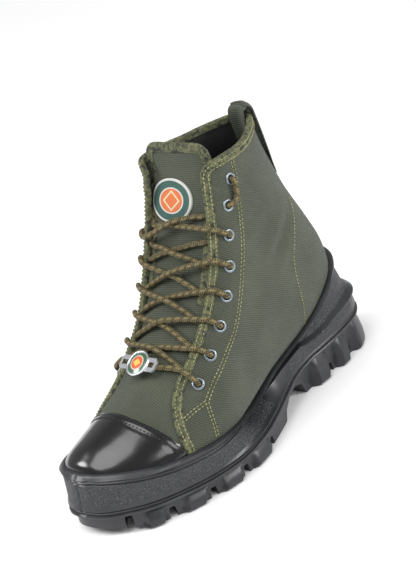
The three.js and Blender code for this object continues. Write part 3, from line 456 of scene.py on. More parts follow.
def grid_sheet(rings: Array, rows: Array) -> Sheet:
    """A sheet over closed rings of points.

    Args:
        rings: rings by points by three coordinates.
        rows: row of the last of each ring.

    Returns:
        The sheet with outward directions.
    """
    count, around, _ = rings.shape
    along = np.gradient(rings, axis=0)
    across = np.roll(rings, -1, axis=1) - np.roll(rings, 1, axis=1)
    normals = unit(np.cross(along, across))
    centre = rings.mean(axis=1, keepdims=True)
    if ((rings - centre) * normals).sum() < 0:
        normals = -normals
    ring, side = np.meshgrid(np.arange(count - 1), np.arange(around), indexing="ij")
    first = (ring * around + side).ravel()
    second = (ring * around + (side + 1) % around).ravel()
    triangles = np.vstack([
        np.column_stack([first, second, second + around]), np.column_stack([first, second + around, first + around]),
    ])
    data = np.column_stack([rings.reshape(-1, 3), normals.reshape(-1, 3), np.repeat(rows, around)])
    corners = data[triangles, :3]
    facing = np.cross(corners[:, 1] - corners[:, 0], corners[:, 2] - corners[:, 0])
    if (facing * data[triangles[:, 0], 3:6]).sum() < 0:
        triangles = triangles[:, ::-1]
    return Sheet(data, triangles)


def last_sheet(last: Last, rows: Array, around: int, tip: bool = True) -> Sheet:
    """The last's surface between rows, with its rounded tip if it starts at the toe."""
    rings = [last.ring(section, around) for section in last.read(rows)]
    if tip:
        first = rings[0]
        centre = first.mean(axis=0)
        turns = np.radians([88, 70, 52, 35, 18])
        caps = [centre + (first - centre) * math.cos(turn) + [2.2 * math.sin(turn), 0, 0] for turn in turns]
        rings = caps + rings
        rows = np.concatenate([np.zeros(len(turns)), rows])
    return grid_sheet(np.array(rings), rows)


class Cuts:
    """Cut lines of the upper, as distances that are above zero on the cloth's side."""

    def __init__(self, sizes: Sizes) -> None:
        """Works out the front edge of the quarters."""
        self.sizes = sizes
        points = [(sizes.cap_seam - behind * sizes.sole_length, out * sizes.throat_half)
                  for behind, out in QUARTER_FRONT]
        line = cubic(np.array(points), np.linspace(0, len(points) - 1, 12 * len(points)))
        self.line = np.vstack([[[sizes.throat_back - 20, sizes.throat_half]], line])
        self.far = np.array([[1.2 * sizes.sole_length, sizes.ball_width]])

    def throat_half(self, x: float) -> float:
        """Half the throat's width at a place along the boot."""
        upto = int(np.argmax(self.line[:, 0]))
        return float(np.interp(x, self.line[:upto, 0], self.line[:upto, 1]))

    def window(self, points: Array) -> Array:
        """Distance outside the throat and the front edge of the quarters, seen from above."""
        line = np.vstack([self.line, self.far])
        start, run = line[:-1], np.diff(line, axis=0)
        place = np.column_stack([points[:, 0], np.abs(points[:, 1])])
        nearest = np.full(len(place), 1e6)
        crossings = np.zeros(len(place), dtype=int)
        for (sx, sy), (rx, ry) in zip(start, run):
            share = np.clip(((place[:, 0] - sx) * rx + (place[:, 1] - sy) * ry) / (rx * rx + ry * ry), 0, 1)
            nearest = np.minimum(nearest, np.hypot(place[:, 0] - sx - share * rx, place[:, 1] - sy - share * ry))
            spans = (sx > place[:, 0]) != (sx + rx > place[:, 0])
            with np.errstate(divide="ignore", invalid="ignore"):
                height = sy + (place[:, 0] - sx) / rx * ry
            crossings += (spans & (height > place[:, 1])).astype(int)
        signed = np.where(crossings % 2 == 1, -nearest, nearest)
        return np.where((points[:, 2] < self.sizes.window_bottom - 8) | (points[:, 0] < self.line[0, 0]), FAR, signed)

    def collar(self, points: Array) -> Array:
        """Distance below the collar's line."""
        table = np.array(COLLAR_LINE)
        height = np.interp(points[:, 0], table[:, 0] * self.sizes.sole_length,
                           table[:, 1] * self.sizes.collar_height)
        return height - points[:, 2]

    def open_edge(self, points: Array) -> Array:
        """Distance from the collar, the throat and the front edge, with the facings' round corners."""
        radius = self.sizes.throat_corner
        side = np.where(points[:, 0] < self.sizes.throat_back, FAR, self.window(points))
        top = self.collar(points)
        corner = (side < radius) & (top < radius)
        rounded = radius - np.hypot(radius - side, radius - top)
        return np.where(corner, rounded, np.minimum(side, top))

    def cap(self, points: Array) -> Array:
        """Distance in front of the toe cap's seam and inside the quarters' front edge."""
        sizes = self.sizes
        seam = sizes.cap_seam - sizes.cap_bow * (points[:, 1] / (0.45 * sizes.ball_width))**2
        return np.minimum(np.minimum(points[:, 0] - seam, -self.window(points) - 1.4), points[:, 2] - 41)


class Ground:
    """A surface that pieces are laid on: nearest points and rays in millimetres."""

    def __init__(self, points: Array, faces: Sequence[Sequence[int]]) -> None:
        """Builds the search tree."""
        self.tree = BVHTree.FromPolygons([tuple(point) for point in points], [tuple(face) for face in faces])

    def nearest(self, point: Array) -> tuple[Array, Array]:
        """The nearest place and its outward direction."""
        place, normal, _, _ = self.tree.find_nearest(Vector(point))
        return np.array(place), np.array(normal)

    def cast(self, start: Array, direction: Array) -> Array | None:
        """Where a ray meets the surface."""
        place, _, _, _ = self.tree.ray_cast(Vector(start), Vector(direction))
        return None if place is None else np.array(place)

    def settle(self, points: Array) -> tuple[Array, Array]:
        """Points put on the surface, and the directions there."""
        pairs = [self.nearest(point) for point in points]
        return np.array([pair[0] for pair in pairs]), np.array([pair[1] for pair in pairs])

    def walk(self, points: Array, directions: Array, distance: float) -> tuple[Array, Array]:
        """Points moved over the surface by a distance, in small steps."""
        steps = max(1, math.ceil(abs(distance)))
        place, heading = points.copy(), directions.copy()
        normals = None
        for _ in range(steps):
            place, normals = self.settle(place + heading * (distance / steps))
            heading = unit(heading - normals * (heading * normals).sum(axis=1, keepdims=True))
        return place, normals


class Bench:
    """Makes mesh pieces and hands them to the frame."""

    def mesh(self, name: str, points: Array, faces: Sequence[Sequence[int]], finish: "Finish",
             uv: Array | None = None, angle: float = 42) -> bpy.types.Object:
        """One piece from points in millimetres.

        Args:
            name: name of the piece.
            points: places in the last's frame.
            faces: corners of each face.
            finish: what it is made of.
            uv: places on the pattern in millimetres.
            angle: edges sharper than this stay crisp.

        Returns:
            The new object.
        """
        mesh = bpy.data.meshes.new(name)
        mesh.from_pydata(((np.asarray(points) - ORIGIN) * MM).tolist(), [], faces)
        mesh.validate()
        if uv is not None:
            layer = mesh.uv_layers.new(name="pattern")
            corners = np.empty(len(mesh.loops), dtype=np.int32)
            mesh.loops.foreach_get("vertex_index", corners)
            layer.data.foreach_set("uv", np.ascontiguousarray(np.asarray(uv)[corners], dtype=np.float32).ravel())
        piece = bpy.data.objects.new(name, mesh)
        bpy.context.scene.collection.objects.link(piece)
        mesh.materials.append(finish.material())
        self.smooth(piece, angle)
        return piece

    def smooth(self, piece: bpy.types.Object, angle: float) -> None:
        """Shades a piece smooth up to an angle."""
        self.only(piece)
        bpy.ops.object.shade_smooth_by_angle(angle=math.radians(angle))

    def only(self, piece: bpy.types.Object) -> None:
        """Selects one piece alone."""
        bpy.ops.object.select_all(action="DESELECT")
        piece.select_set(True)
        bpy.context.view_layer.objects.active = piece

    def dress(self, name: str, finish: "Finish") -> bpy.types.Object:
        """Gives one of the frame's own pieces its material."""
        piece = bpy.data.objects[name]
        piece.data.materials.clear()
        piece.data.materials.append(finish.material())
        return piece

    def done(self, piece: bpy.types.Object, slot: str, *nodes: str) -> bpy.types.Object:
        """Lets a finished piece ride on the boot, in place of the nodes that it stands for."""
        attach(piece, "root")
        if nodes:
            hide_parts(*nodes)
        LOG.info("%s: %d faces", piece.name, len(piece.data.polygons))
        return piece


BENCH = Bench()


def ring_faces(first: int, last: int, around: int) -> list[tuple[int, ...]]:
    """Faces between closed rings of points, from one ring's number to another's."""
    return [(ring * around + side, ring * around + (side + 1) % around,
             (ring + 1) * around + (side + 1) % around, (ring + 1) * around + side)
            for ring in range(first, last) for side in range(around)]


def end_faces(count: int, around: int) -> list[tuple[int, ...]]:
    """Faces that close the first and the last of such rings."""
    return [tuple(range(around))[::-1], tuple(range((count - 1) * around, count * around))]


def circle(around: int) -> Array:
    """Evenly spaced turns of a full circle."""
    return np.linspace(0, 2 * math.pi, around, endpoint=False)


def outward(points: Array, faces: list) -> list:
    """Faces turned so that a closed body faces out."""
    volume = 0.0
    for face in faces:
        first = points[face[0]]
        for second, third in zip(face[1:-1], face[2:]):
            volume += float(np.dot(first, np.cross(points[second], points[third])))
    return faces if volume > 0 else [face[::-1] for face in faces]


def tangents(points: Array) -> Array:
    """Directions along a polyline."""
    return unit(np.gradient(points, axis=0))


def stitches(points: Array, normals: Array, pitch: float = 3.0, length: float = 2.3,
             radius: float = THREAD_RADIUS) -> tuple[Array, list]:
    """Short rounded threads along a line, each dipping into the cloth at its ends.

    Args:
        points: the seam.
        normals: outward directions along it.
        pitch: from one stitch to the next.
        length: length of a stitch.
        radius: half the thread's thickness.

    Returns:
        Points and faces of all of them.
    """
    lengths = np.concatenate([[0], np.cumsum(np.linalg.norm(np.diff(points, axis=0), axis=1))])
    shares = np.array([-0.5, -0.36, 0, 0.36, 0.5])
    radii = np.array([0.35, 0.85, 1.0, 0.85, 0.35]) * radius
    lifts = np.array([-0.3, 0.15, 0.4, 0.15, -0.3]) * radius / THREAD_RADIUS
    around = 6
    turns = circle(around)
    verts, faces = [], []
    place = pitch / 2
    while place < lengths[-1]:
        base = len(verts)
        spots = np.clip(place + shares * length, 0, lengths[-1])
        centres = np.stack([np.interp(spots, lengths, points[:, axis]) for axis in range(3)], axis=1)
        up = unit(np.array([np.interp(place, lengths, normals[:, axis]) for axis in range(3)]))
        run = unit(centres[-1] - centres[0])
        side = unit(np.cross(run, up))
        for centre, size, lift in zip(centres, radii, lifts):
            for turn in turns:
                verts.append(centre + up * (lift + size * math.sin(turn)) + side * size * 1.15 * math.cos(turn))
        for ring in range(len(shares) - 1):
            for step in range(around):
                after = (step + 1) % around
                faces.append((base + ring * around + step, base + (ring + 1) * around + step,
                              base + (ring + 1) * around + after, base + ring * around + after))
        faces.append(tuple(base + step for step in range(around)))
        faces.append(tuple(base + (len(shares) - 1) * around + step for step in range(around))[::-1])
        place += pitch
    return np.array(verts), faces


def joined(parts: Sequence[tuple[Array, list]]) -> tuple[Array, list]:
    """Several bodies as one list of points and faces."""
    points, faces, base = [], [], 0
    for verts, polygons in parts:
        points.append(verts)
        faces += [tuple(corner + base for corner in polygon) for polygon in polygons]
        base += len(verts)
    return np.vstack(points), faces


def srgb(red: int, green: int, blue: int) -> tuple[float, float, float, float]:
    """A screen colour as light."""
    return tuple((value / 255 / 12.92 if value < 11 else ((value / 255 + 0.055) / 1.055)**2.4)
                 for value in (red, green, blue)) + (1.0,)


class Value:
    """A number inside a material, with arithmetic that adds its nodes."""

    def __init__(self, shader: "Shader", socket: bpy.types.NodeSocket) -> None:
        """Wraps one socket."""
        self.shader = shader
        self.socket = socket

    def _math(self, operation: str, *values: "Value | float") -> "Value":
        """One Math node."""
        return self.shader.node("ShaderNodeMath", {"operation": operation}, dict(enumerate(values)))

    def __add__(self, other: "Value | float") -> "Value":
        """Sum."""
        return self._math("ADD", self, other)

    def __sub__(self, other: "Value | float") -> "Value":
        """Difference."""
        return self._math("SUBTRACT", self, other)

    def __rsub__(self, other: float) -> "Value":
        """Difference, the number first."""
        return self._math("SUBTRACT", other, self)

    def __mul__(self, other: "Value | float") -> "Value":
        """Product."""
        return self._math("MULTIPLY", self, other)

    def sine(self) -> "Value":
        """Sine."""
        return self._math("SINE", self)

    def wave(self) -> "Value":
        """Sine between 0 and 1."""
        return self.sine() * 0.5 + 0.5

    def length(self, other: "Value") -> "Value":
        """Distance from the middle, with this and the other as its sides."""
        return self._math("SQRT", self * self + other * other)

    def step(self, low: float, high: float) -> "Value":
        """0 below low, 1 above high, smooth between."""
        return self.shader.node("ShaderNodeMapRange", {"interpolation_type": "SMOOTHSTEP"},
                                {"Value": self, "From Min": low, "From Max": high})

    def absolute(self) -> "Value":
        """Size without sign."""
        return self._math("ABSOLUTE", self)

    def maximum(self, other: "Value | float") -> "Value":
        """The larger of two."""
        return self._math("MAXIMUM", self, other)


class Shader:
    """One material under construction."""

    def __init__(self, name: str) -> None:
        """Starts with the plain surface."""
        self.material = bpy.data.materials.new(name)
        self.material.use_nodes = True
        self.tree = self.material.node_tree
        self.surface = next(node for node in self.tree.nodes if node.type == "BSDF_PRINCIPLED")

    def node(self, kind: str, settings: dict | None = None, inputs: dict | None = None,
             output: int | str = 0) -> Value:
        """Adds a node.

        Args:
            kind: its type.
            settings: properties set first.
            inputs: numbers, colours or values for its sockets.
            output: which output comes back.

        Returns:
            The output.
        """
        made = self.tree.nodes.new(kind)
        for key, value in (settings or {}).items():
            if key == "stops":
                ramp = made.color_ramp
                while len(ramp.elements) < len(value):
                    ramp.elements.new(0.5)
                for element, (position, colour) in zip(ramp.elements, value):
                    element.position, element.color = position, colour
            else:
                setattr(made, key, value)
        for key, value in (inputs or {}).items():
            if isinstance(value, Value):
                self.tree.links.new(value.socket, made.inputs[key])
            else:
                made.inputs[key].default_value = value
        return Value(self, made.outputs[output])

    def place(self) -> Value:
        """Place on the boot in metres."""
        return self.node("ShaderNodeTexCoord", output="Object")

    def pattern(self) -> tuple[Value, Value]:
        """Place on the piece's own pattern in millimetres."""
        both = self.node("ShaderNodeUVMap", {"uv_map": "pattern"})
        split = self.node("ShaderNodeSeparateXYZ", inputs={"Vector": both})
        return split, Value(self, split.socket.node.outputs["Y"])

    def noise(self, scale: float, detail: float = 3, roughness: float = 0.5, where: Value | None = None) -> Value:
        """Cloudy variation, from 0 to 1. Scale is in clouds per metre."""
        return self.node("ShaderNodeTexNoise", inputs={
            "Vector": where or self.place(), "Scale": scale, "Detail": detail, "Roughness": roughness})

    def mix(self, factor: Value, first: tuple | Value, second: tuple | Value) -> Value:
        """Two colours by a factor."""
        return self.node("ShaderNodeMix", {"data_type": "RGBA"}, {0: factor, 6: first, 7: second}, 2)

    def relief(self, height: Value, distance: float, strength: float = 1.0, base: Value | None = None) -> Value:
        """Bump of a height from 0 to 1 that stands a distance in metres."""
        inputs = {"Height": height, "Distance": distance, "Strength": strength}
        if base is not None:
            inputs["Normal"] = base
        return self.node("ShaderNodeBump", inputs=inputs)

    def set(self, **values: Value | float | tuple) -> None:
        """Sets sockets of the surface. Underscores stand for spaces."""
        for key, value in values.items():
            socket = self.surface.inputs[key.replace("_", " ")]
            if isinstance(value, Value):
                self.tree.links.new(value.socket, socket)
            else:
                socket.default_value = value


class Finish:
    """A material that is made once."""

    name = "finish"
    _made: dict[str, bpy.types.Material] = {}

    def material(self) -> bpy.types.Material:
        """The material, made on first use."""
        if self.name not in Finish._made:
            shader = Shader(self.name)
            self.paint(shader)
            Finish._made[self.name] = shader.material
        return Finish._made[self.name]

    def paint(self, shader: Shader) -> None:
        """Adds the nodes."""
        raise NotImplementedError


@dataclass(frozen=True)
class Canvas(Finish):
    """Twill with a fine diagonal rib."""

    name: str = "canvas_twill"
    base: tuple = srgb(78, 83, 67)
    # The canvas as it looks in shade: mixed into the colour, it is painted shade.
    shade: tuple = srgb(41, 45, 36)
    rib: float = 1.7
    slant: float = 0.55

    def paint(self, shader: Shader) -> None:
        """Ribs, threads across them, and soft cloudy patches of painted shade."""
        across, along = shader.pattern()
        tau = 2 * math.pi
        ribs = ((across * -self.slant + along) * (tau / self.rib)).wave()
        threads = ((across + along * 0.35) * (tau / (self.rib * 0.75))).wave()
        weave = ribs * 0.65 + threads * 0.35
        fuzz = shader.noise(1500, 2, 0.6)
        clouds = shader.noise(28, 4, 0.55)
        # Painted shade: the shade colour fills the weave's grooves and soft cloudy patches.
        tone = weave * 0.5 + fuzz * 0.35 + clouds * 0.45
        shader.set(Base_Color=shader.mix(tone.step(0.3, 0.95), self.shade, self.base),
                   Roughness=0.86, Sheen_Weight=0.12, Sheen_Roughness=0.5,
                   Normal=shader.relief(weave * 0.8 + fuzz * 0.4, 0.0005, 0.9))


@dataclass(frozen=True)
class Tape(Finish):
    """Woven tape with dark patches."""

    name: str = "binding_tape"
    khaki: tuple = srgb(100, 100, 72)
    olive: tuple = srgb(70, 76, 54)
    navy: tuple = srgb(34, 36, 38)

    def paint(self, shader: Shader) -> None:
        """Patches of three colours and a fine weave."""
        across, along = shader.pattern()
        tau = 2 * math.pi
        weave = (across * (tau / 0.9)).wave() * 0.5 + (along * (tau / 0.9)).wave() * 0.5
        blobs = shader.noise(260, 2, 0.5)
        more = shader.noise(380, 2, 0.5)
        colour = shader.mix(more.step(0.46, 0.54), self.khaki, self.olive)
        colour = shader.mix(blobs.step(0.56, 0.6) * 0.85, colour, self.navy)
        shader.set(Base_Color=colour, Roughness=0.84, Normal=shader.relief(weave, 0.00022, 0.7))


@dataclass(frozen=True)
class Leather(Finish):
    """Polished smooth leather."""

    name: str = "cap_leather"
    base: tuple = srgb(8, 8, 10)

    def paint(self, shader: Shader) -> None:
        """A faint grain and uneven polish."""
        grain = shader.node("ShaderNodeTexVoronoi", {"feature": "SMOOTH_F1"},
                            {"Vector": shader.place(), "Scale": 900, "Smoothness": 0.4})
        clouds = shader.noise(45, 4, 0.6)
        wide = shader.noise(22, 2, 0.5)
        shader.set(Base_Color=shader.mix(clouds.step(0.35, 0.75), self.base, srgb(14, 14, 16)),
                   Roughness=clouds * 0.14 + 0.15, Specular_IOR_Level=0.45, Coat_Weight=0.4, Coat_Roughness=0.1,
                   Normal=shader.relief(grain, 0.00005, 0.35, shader.relief(wide, 0.0022, 0.4)))


@dataclass(frozen=True)
class Rubber(Finish):
    """Moulded rubber, smooth or with a fine crumb."""

    name: str = "rubber_smooth"
    base: tuple = srgb(42, 43, 47)
    crumb: float = 0.0
    roughness: float = 0.36

    def paint(self, shader: Shader) -> None:
        """Bloom, dust, the mould's crumb and painted glints on the crumb."""
        clouds = shader.noise(55, 4, 0.6)
        fine = shader.noise(1300, 2, 0.6)
        dust = shader.noise(300, 3, 0.7)
        tone = clouds * 0.6 + dust * 0.4
        pits = shader.node("ShaderNodeTexVoronoi", {"feature": "F1"}, {"Vector": shader.place(), "Scale": 620})
        height = pits * self.crumb + fine * (0.25 + 0.5 * self.crumb)
        # Painted glints: bright flecks on the crumb stand in for light catching its bumps.
        crumb_glints = shader.noise(900, 1, 0.5).step(0.5, 0.72) * (0.55 * self.crumb)
        colour = shader.mix(tone.step(0.35, 0.75), srgb(27, 28, 31), self.base)
        shader.set(Base_Color=shader.mix(crumb_glints, colour, srgb(92, 94, 98)),
                   Roughness=clouds * 0.2 + (self.roughness - 0.08), Specular_IOR_Level=0.6,
                   Normal=shader.relief(height, 0.0007 if self.crumb else 0.00014, 0.8))


@dataclass(frozen=True)
class Metal(Finish):
    """Pressed or cast metal."""

    name: str = "eyelet_steel"
    base: tuple = srgb(140, 150, 156)
    roughness: float = 0.3

    def paint(self, shader: Shader) -> None:
        """Fine scratches and dull spots."""
        spots = shader.noise(500, 4, 0.7)
        fine = shader.noise(2500, 2, 0.6)
        dull = tuple(0.75 * part for part in self.base[:3]) + (1,)
        shader.set(Base_Color=shader.mix(spots.step(0.3, 0.8), self.base, dull),
                   Metallic=1.0, Roughness=spots * 0.2 + self.roughness,
                   Normal=shader.relief(fine, 0.00004, 0.4))


@dataclass(frozen=True)
class Cloth(Finish):
    """A plain woven or knitted cloth without a pattern of its own."""

    name: str = "lining_cloth"
    base: tuple = srgb(26, 27, 28)
    light: tuple = srgb(40, 41, 42)
    scale: float = 1100
    roughness: float = 0.9

    def paint(self, shader: Shader) -> None:
        """Small cells of thread."""
        cells = shader.node("ShaderNodeTexVoronoi", {"feature": "F1"},
                            {"Vector": shader.place(), "Scale": self.scale})
        clouds = shader.noise(60, 3, 0.6)
        shader.set(Base_Color=shader.mix((cells * 0.6 + clouds * 0.5).step(0.3, 0.85), self.base, self.light),
                   Roughness=self.roughness, Normal=shader.relief(cells, 0.0003, 0.6))


@dataclass(frozen=True)
class Braid(Finish):
    """Round braided cord with dark flecks."""

    name: str = "lace_braid"
    khaki: tuple = srgb(118, 106, 70)
    dark: tuple = srgb(30, 28, 20)

    def paint(self, shader: Shader) -> None:
        """Strands that cross each other round the cord."""
        along, around = shader.pattern()
        tau = 2 * math.pi
        left = (along * (tau / BRAID_PITCH) + around * (tau * 2 / BRAID_GIRTH)).sine()
        right = (along * (tau / BRAID_PITCH) - around * (tau * 2 / BRAID_GIRTH)).sine()
        strands = left * right * 0.5 + 0.5
        flecks = (along * (tau / (2 * BRAID_PITCH)) + around * (tau / BRAID_GIRTH)).sine()
        dark = (1.0 - strands.step(0.2, 0.45)).maximum(flecks.step(0.35, 0.6) * strands.step(0.45, 0.6))
        fuzz = shader.noise(2200, 2, 0.6)
        shader.set(Base_Color=shader.mix(dark * 0.85 + fuzz * 0.15, self.khaki, self.dark), Roughness=0.82,
                   Normal=shader.relief(strands + fuzz * 0.3, 0.0005, 0.8))


@dataclass(frozen=True)
class Thread(Finish):
    """Sewing thread."""

    name: str = "thread_olive"
    base: tuple = srgb(154, 152, 108)
    shade: tuple = srgb(108, 108, 70)

    def paint(self, shader: Shader) -> None:
        """Uneven dye."""
        fuzz = shader.noise(1800, 2, 0.6)
        wide = shader.noise(120, 2, 0.6)
        shader.set(Base_Color=shader.mix((fuzz * 0.5 + wide * 0.5).step(0.35, 0.65), self.shade, self.base),
                   Roughness=0.7, Normal=shader.relief(fuzz, 0.0002, 0.5))


@dataclass(frozen=True)
class PatchCloth(Finish):
    """Embroidery in rings, with a lozenge in the middle."""

    name: str = "patch_embroidery"

    def paint(self, shader: Shader) -> None:
        """Rings by the distance from the middle, in shares of the radius."""
        across, up = shader.pattern()
        reach = across.length(up)
        white, green, orange, cream = srgb(214, 214, 208), srgb(34, 84, 74), srgb(222, 112, 48), srgb(226, 214, 176)
        lozenge = across.absolute() * 1.15 + up.absolute()
        satin = ((across * 0.6 + up) * 190).wave()
        fuzz = shader.noise(1500, 2, 0.6)
        colour = orange
        for distance, start, after in ((lozenge, 0.36, cream), (lozenge, 0.46, orange), (reach, 0.52, white),
                                       (reach, 0.58, green), (reach, 0.88, white)):
            colour = shader.mix(distance.step(start, start + 0.02), colour, after)
        colour = shader.mix((satin * 0.5 + fuzz * 0.5) * 0.28, colour, srgb(30, 30, 26))
        shader.set(Base_Color=colour, Roughness=0.62, Sheen_Weight=0.2,
                   Normal=shader.relief(satin * 0.7 + fuzz * 0.4, 0.00025, 0.7))


@dataclass(frozen=True)
class Enamel(Finish):
    """Domed filling of the tag, with a lozenge."""

    name: str = "tag_enamel"

    def paint(self, shader: Shader) -> None:
        """A warm field with a pale lozenge under a clear coat."""
        across, up = shader.pattern()
        lozenge = across.absolute() + up.absolute() * 1.2
        fuzz = shader.noise(700, 3, 0.6)
        reach = across.length(up)
        colour = srgb(230, 190, 96)
        for distance, start, after in ((lozenge, 0.42, srgb(206, 92, 44)), (reach, 0.6, srgb(214, 210, 196)),
                                       (reach, 0.68, srgb(38, 92, 66))):
            colour = shader.mix(distance.step(start, start + 0.04), colour, after)
        colour = shader.mix(fuzz * 0.2, colour, srgb(120, 60, 30))
        shader.set(Base_Color=colour, Roughness=0.25, Coat_Weight=0.8, Coat_Roughness=0.06,
                   Normal=shader.relief(fuzz, 0.00005, 0.3))


class Thickness(Enum):
    """Layers of the upper, as distances from the last."""

    QUARTER = (1.1, 0.05)
    VAMP = (0.0, -0.95)
    LINING = (-1.0, -1.9)


@dataclass(frozen=True)
class Fold:
    """A soft trough along a line of one side, with a low ridge on each side of it."""

    start: tuple[float, float]
    end: tuple[float, float]
    width: float
    depth: float
    side: int = 1

    def height(self, points: Array) -> Array:
        """Change of the surface at points of the last, in millimetres."""
        start, run = np.array(self.start), np.array(self.end) - np.array(self.start)
        place = points[:, [0, 2]]
        share = ((place - start) @ run) / (run @ run)
        away = np.linalg.norm(place - start - np.clip(share, 0, 1)[:, None] * run, axis=1) / self.width
        ends = smooth_step(share, -0.15, 0.35) * (1 - smooth_step(share, 0.65, 1.15))
        wave = -np.exp(-away**2) + 0.55 * np.exp(-((away - 1.7) / 0.8)**2)
        return self.depth * wave * ends * smooth_step(points[:, 1] * self.side, 4, 20)


@dataclass
class Upper:
    """Quarters, vamp, lining, toe cap and tongue."""

    last: Last
    cuts: Cuts
    eyelets: list[tuple[Array, Array]]
    rows: int = 176
    around: int = 168
    folds: tuple[Fold, ...] = (
        Fold((60, 146), (104, 121), 5.5, 1.5),
        Fold((86, 152), (122, 138), 7, 0.7),
        Fold((164, 88), (167, 50), 8, 0.7),
        Fold((40, 104), (84, 112), 8, 0.6),
        Fold((120, 112), (160, 84), 9, 0.5),
        Fold((60, 146), (108, 122), 6, 1.3, -1),
        Fold((120, 110), (168, 78), 9, 0.8, -1),
    )
    ground: Ground | None = None
    tongue_ground: Ground | None = None

    def build(self) -> None:
        """Makes every piece of the upper."""
        sheet = last_sheet(self.last, np.linspace(0, LAST_ROWS, self.rows), self.around)
        whole = sheet.moved(SIZES.quarter_step)
        self.ground = Ground(whole, sheet.triangles)
        self.quarters(sheet)
        self.vamp(sheet)
        self.lining(sheet)
        self.toe_cap()
        self.tongue()

    def crease(self, points: Array) -> Array:
        """All folds and a slow unevenness."""
        x, y, z = points[:, 0], points[:, 1], points[:, 2]
        slow = 0.22 * np.sin(x / 13 + z / 17) * np.sin(z / 11 - y / 19) + 0.12 * np.sin(x / 6.1 - z / 7.3)
        away = smooth_step(self.cuts.open_edge(points), 4, 16)
        return (slow + sum(fold.height(points) for fold in self.folds)) * away

    def holes(self, points: Array) -> Array:
        """Distance outside the eyelets' holes."""
        nearest = np.full(len(points), FAR)
        for centre, normal in self.eyelets:
            offset = points - centre
            axial = offset @ normal
            radial = np.linalg.norm(offset - axial[:, None] * normal, axis=1)
            nearest = np.minimum(nearest, np.where(np.abs(axial) < 8, radial, FAR))
        return nearest - HOLE_RADIUS

    def quarters(self, sheet: Sheet) -> None:
        """The outer layer with the facings."""
        outer, inner = Thickness.QUARTER.value
        whole = sheet.moved(outer)
        edge = self.cuts.open_edge(whole)
        trimmed = sheet.clip(edge)
        lines = trimmed.edge_lines(self.cuts.open_edge(trimmed.moved(outer)), 0.15)
        self.edge = lines[0]
        trimmed = trimmed.clip(self.holes(trimmed.moved(outer)))
        trimmed = trimmed.clip(trimmed.points[:, 2] - 30)
        lift = self.crease(trimmed.points)
        points, faces = trimmed.shell(outer + lift, inner + lift)
        self.cloth = Ground(points[:len(trimmed.data)], trimmed.triangles)
        x, y, z = points.T
        turn = lerp(1.0, -1.0, smooth_step(x, 45, 135))
        uv = np.column_stack([x + turn * (np.abs(y) - 40), z])
        piece = BENCH.mesh("quarters", points, faces, Canvas(), uv)
        BENCH.done(piece, "canvas", "upper")

    def vamp(self, sheet: Sheet) -> None:
        """The layer under the quarters' front and the toe cap."""
        outer, inner = Thickness.VAMP.value
        back, window_front, low = 196, 205, 40
        trimmed = sheet.clip(sheet.points[:, 0] - back)
        trimmed = trimmed.clip(trimmed.points[:, 2] - low)
        trimmed = trimmed.clip(np.maximum(trimmed.points[:, 0] - window_front, self.cuts.window(trimmed.points)))
        points, faces = trimmed.shell(outer, inner)
        uv = np.column_stack([points[:, 1], points[:, 0] * 1.15])
        BENCH.done(BENCH.mesh("vamp", points, faces, Canvas(name="canvas_vamp", slant=0.1), uv), "canvas", "upper")

    def lining(self, sheet: Sheet) -> None:
        """The dark inside of the shaft."""
        outer, inner = Thickness.LINING.value
        trimmed = sheet.clip(self.cuts.open_edge(sheet.moved(1.0)) - 0.4)
        trimmed = trimmed.clip(self.holes(trimmed.moved(1.0)))
        trimmed = trimmed.clip(trimmed.points[:, 2] - 41)
        points, faces = trimmed.shell(outer, inner)
        BENCH.done(BENCH.mesh("lining", points, faces, Cloth()), "canvas", "upper")

    def toe_cap(self) -> None:
        """Leather over the toe, thinned towards its seam."""
        sheet = last_sheet(self.last, np.linspace(0, 9.5, 120), 176)
        base = SIZES.gap
        distance = self.cuts.cap(sheet.moved(base + SIZES.cap_leather))
        trimmed = sheet.clip(distance)
        reach = self.cuts.cap(trimmed.moved(base + SIZES.cap_leather))
        lines = trimmed.edge_lines(reach, 0.1)
        self.cap_edge = lines[0]
        thick = SIZES.cap_leather * (0.55 + 0.45 * smooth_step(reach, 0, 2.2))
        groove = -0.3 * np.exp(-((reach - 5.6) / 0.9)**2)
        points, faces = trimmed.shell(base + thick + groove, base)
        BENCH.done(BENCH.mesh("toe_cap_leather", points, faces, Leather(), angle=60), "leather", "toe_cap")
        self.cap_ground = Ground(points[:len(trimmed.data)], trimmed.triangles)

    def tongue_rings(self) -> Sheet:
        """The tongue's form: the last, set back and flattened towards the top."""
        rows = np.linspace(7.5, LAST_ROWS, 140)
        sheet = last_sheet(self.last, rows, 220, tip=False)
        lean = smooth_step(sheet.rows, 9, 19)
        back = SIZES.canvas_wall + SIZES.gap + TONGUE_SET_BACK * lean
        moved = sheet.moved(-back)
        moved[:, 1] *= 1 + 0.35 * lean
        middle = self.last.read(sheet.rows)
        front = middle[:, 2] - back
        flat = front - 5.5 * (moved[:, 1] / 30)**2
        ahead = moved[:, 0] > SIZES.throat_back
        moved[:, 0] = np.where(ahead, lerp(moved[:, 0], np.maximum(moved[:, 0], flat), lean * 0.9), moved[:, 0])
        return grid_sheet(moved.reshape(len(rows), 220, 3), rows)

    def tongue(self) -> None:
        """The tongue, and the line of its top edge that the tape follows."""
        sheet = self.tongue_rings()
        points = sheet.points
        edge = self.tongue_edge_distance(points)
        limits = np.minimum(points[:, 0] - SIZES.throat_back - 6, SIZES.throat_front + 8 - points[:, 0])
        trimmed = sheet.clip(np.minimum(edge, limits))
        shell, faces = trimmed.shell(0, -TONGUE_WALL)
        uv = np.column_stack([shell[:, 1], shell[:, 2] - 0.45 * shell[:, 0]])
        BENCH.done(BENCH.mesh("tongue_canvas", shell, faces, Canvas(name="canvas_tongue", slant=0.1), uv),
                   "tongue_canvas", "tongue")
        self.tongue_ground = Ground(trimmed.points, trimmed.triangles)
        line = trimmed.edge_lines(self.tongue_edge_distance(trimmed.points), 0.15)
        self.tongue_edge = line[0]

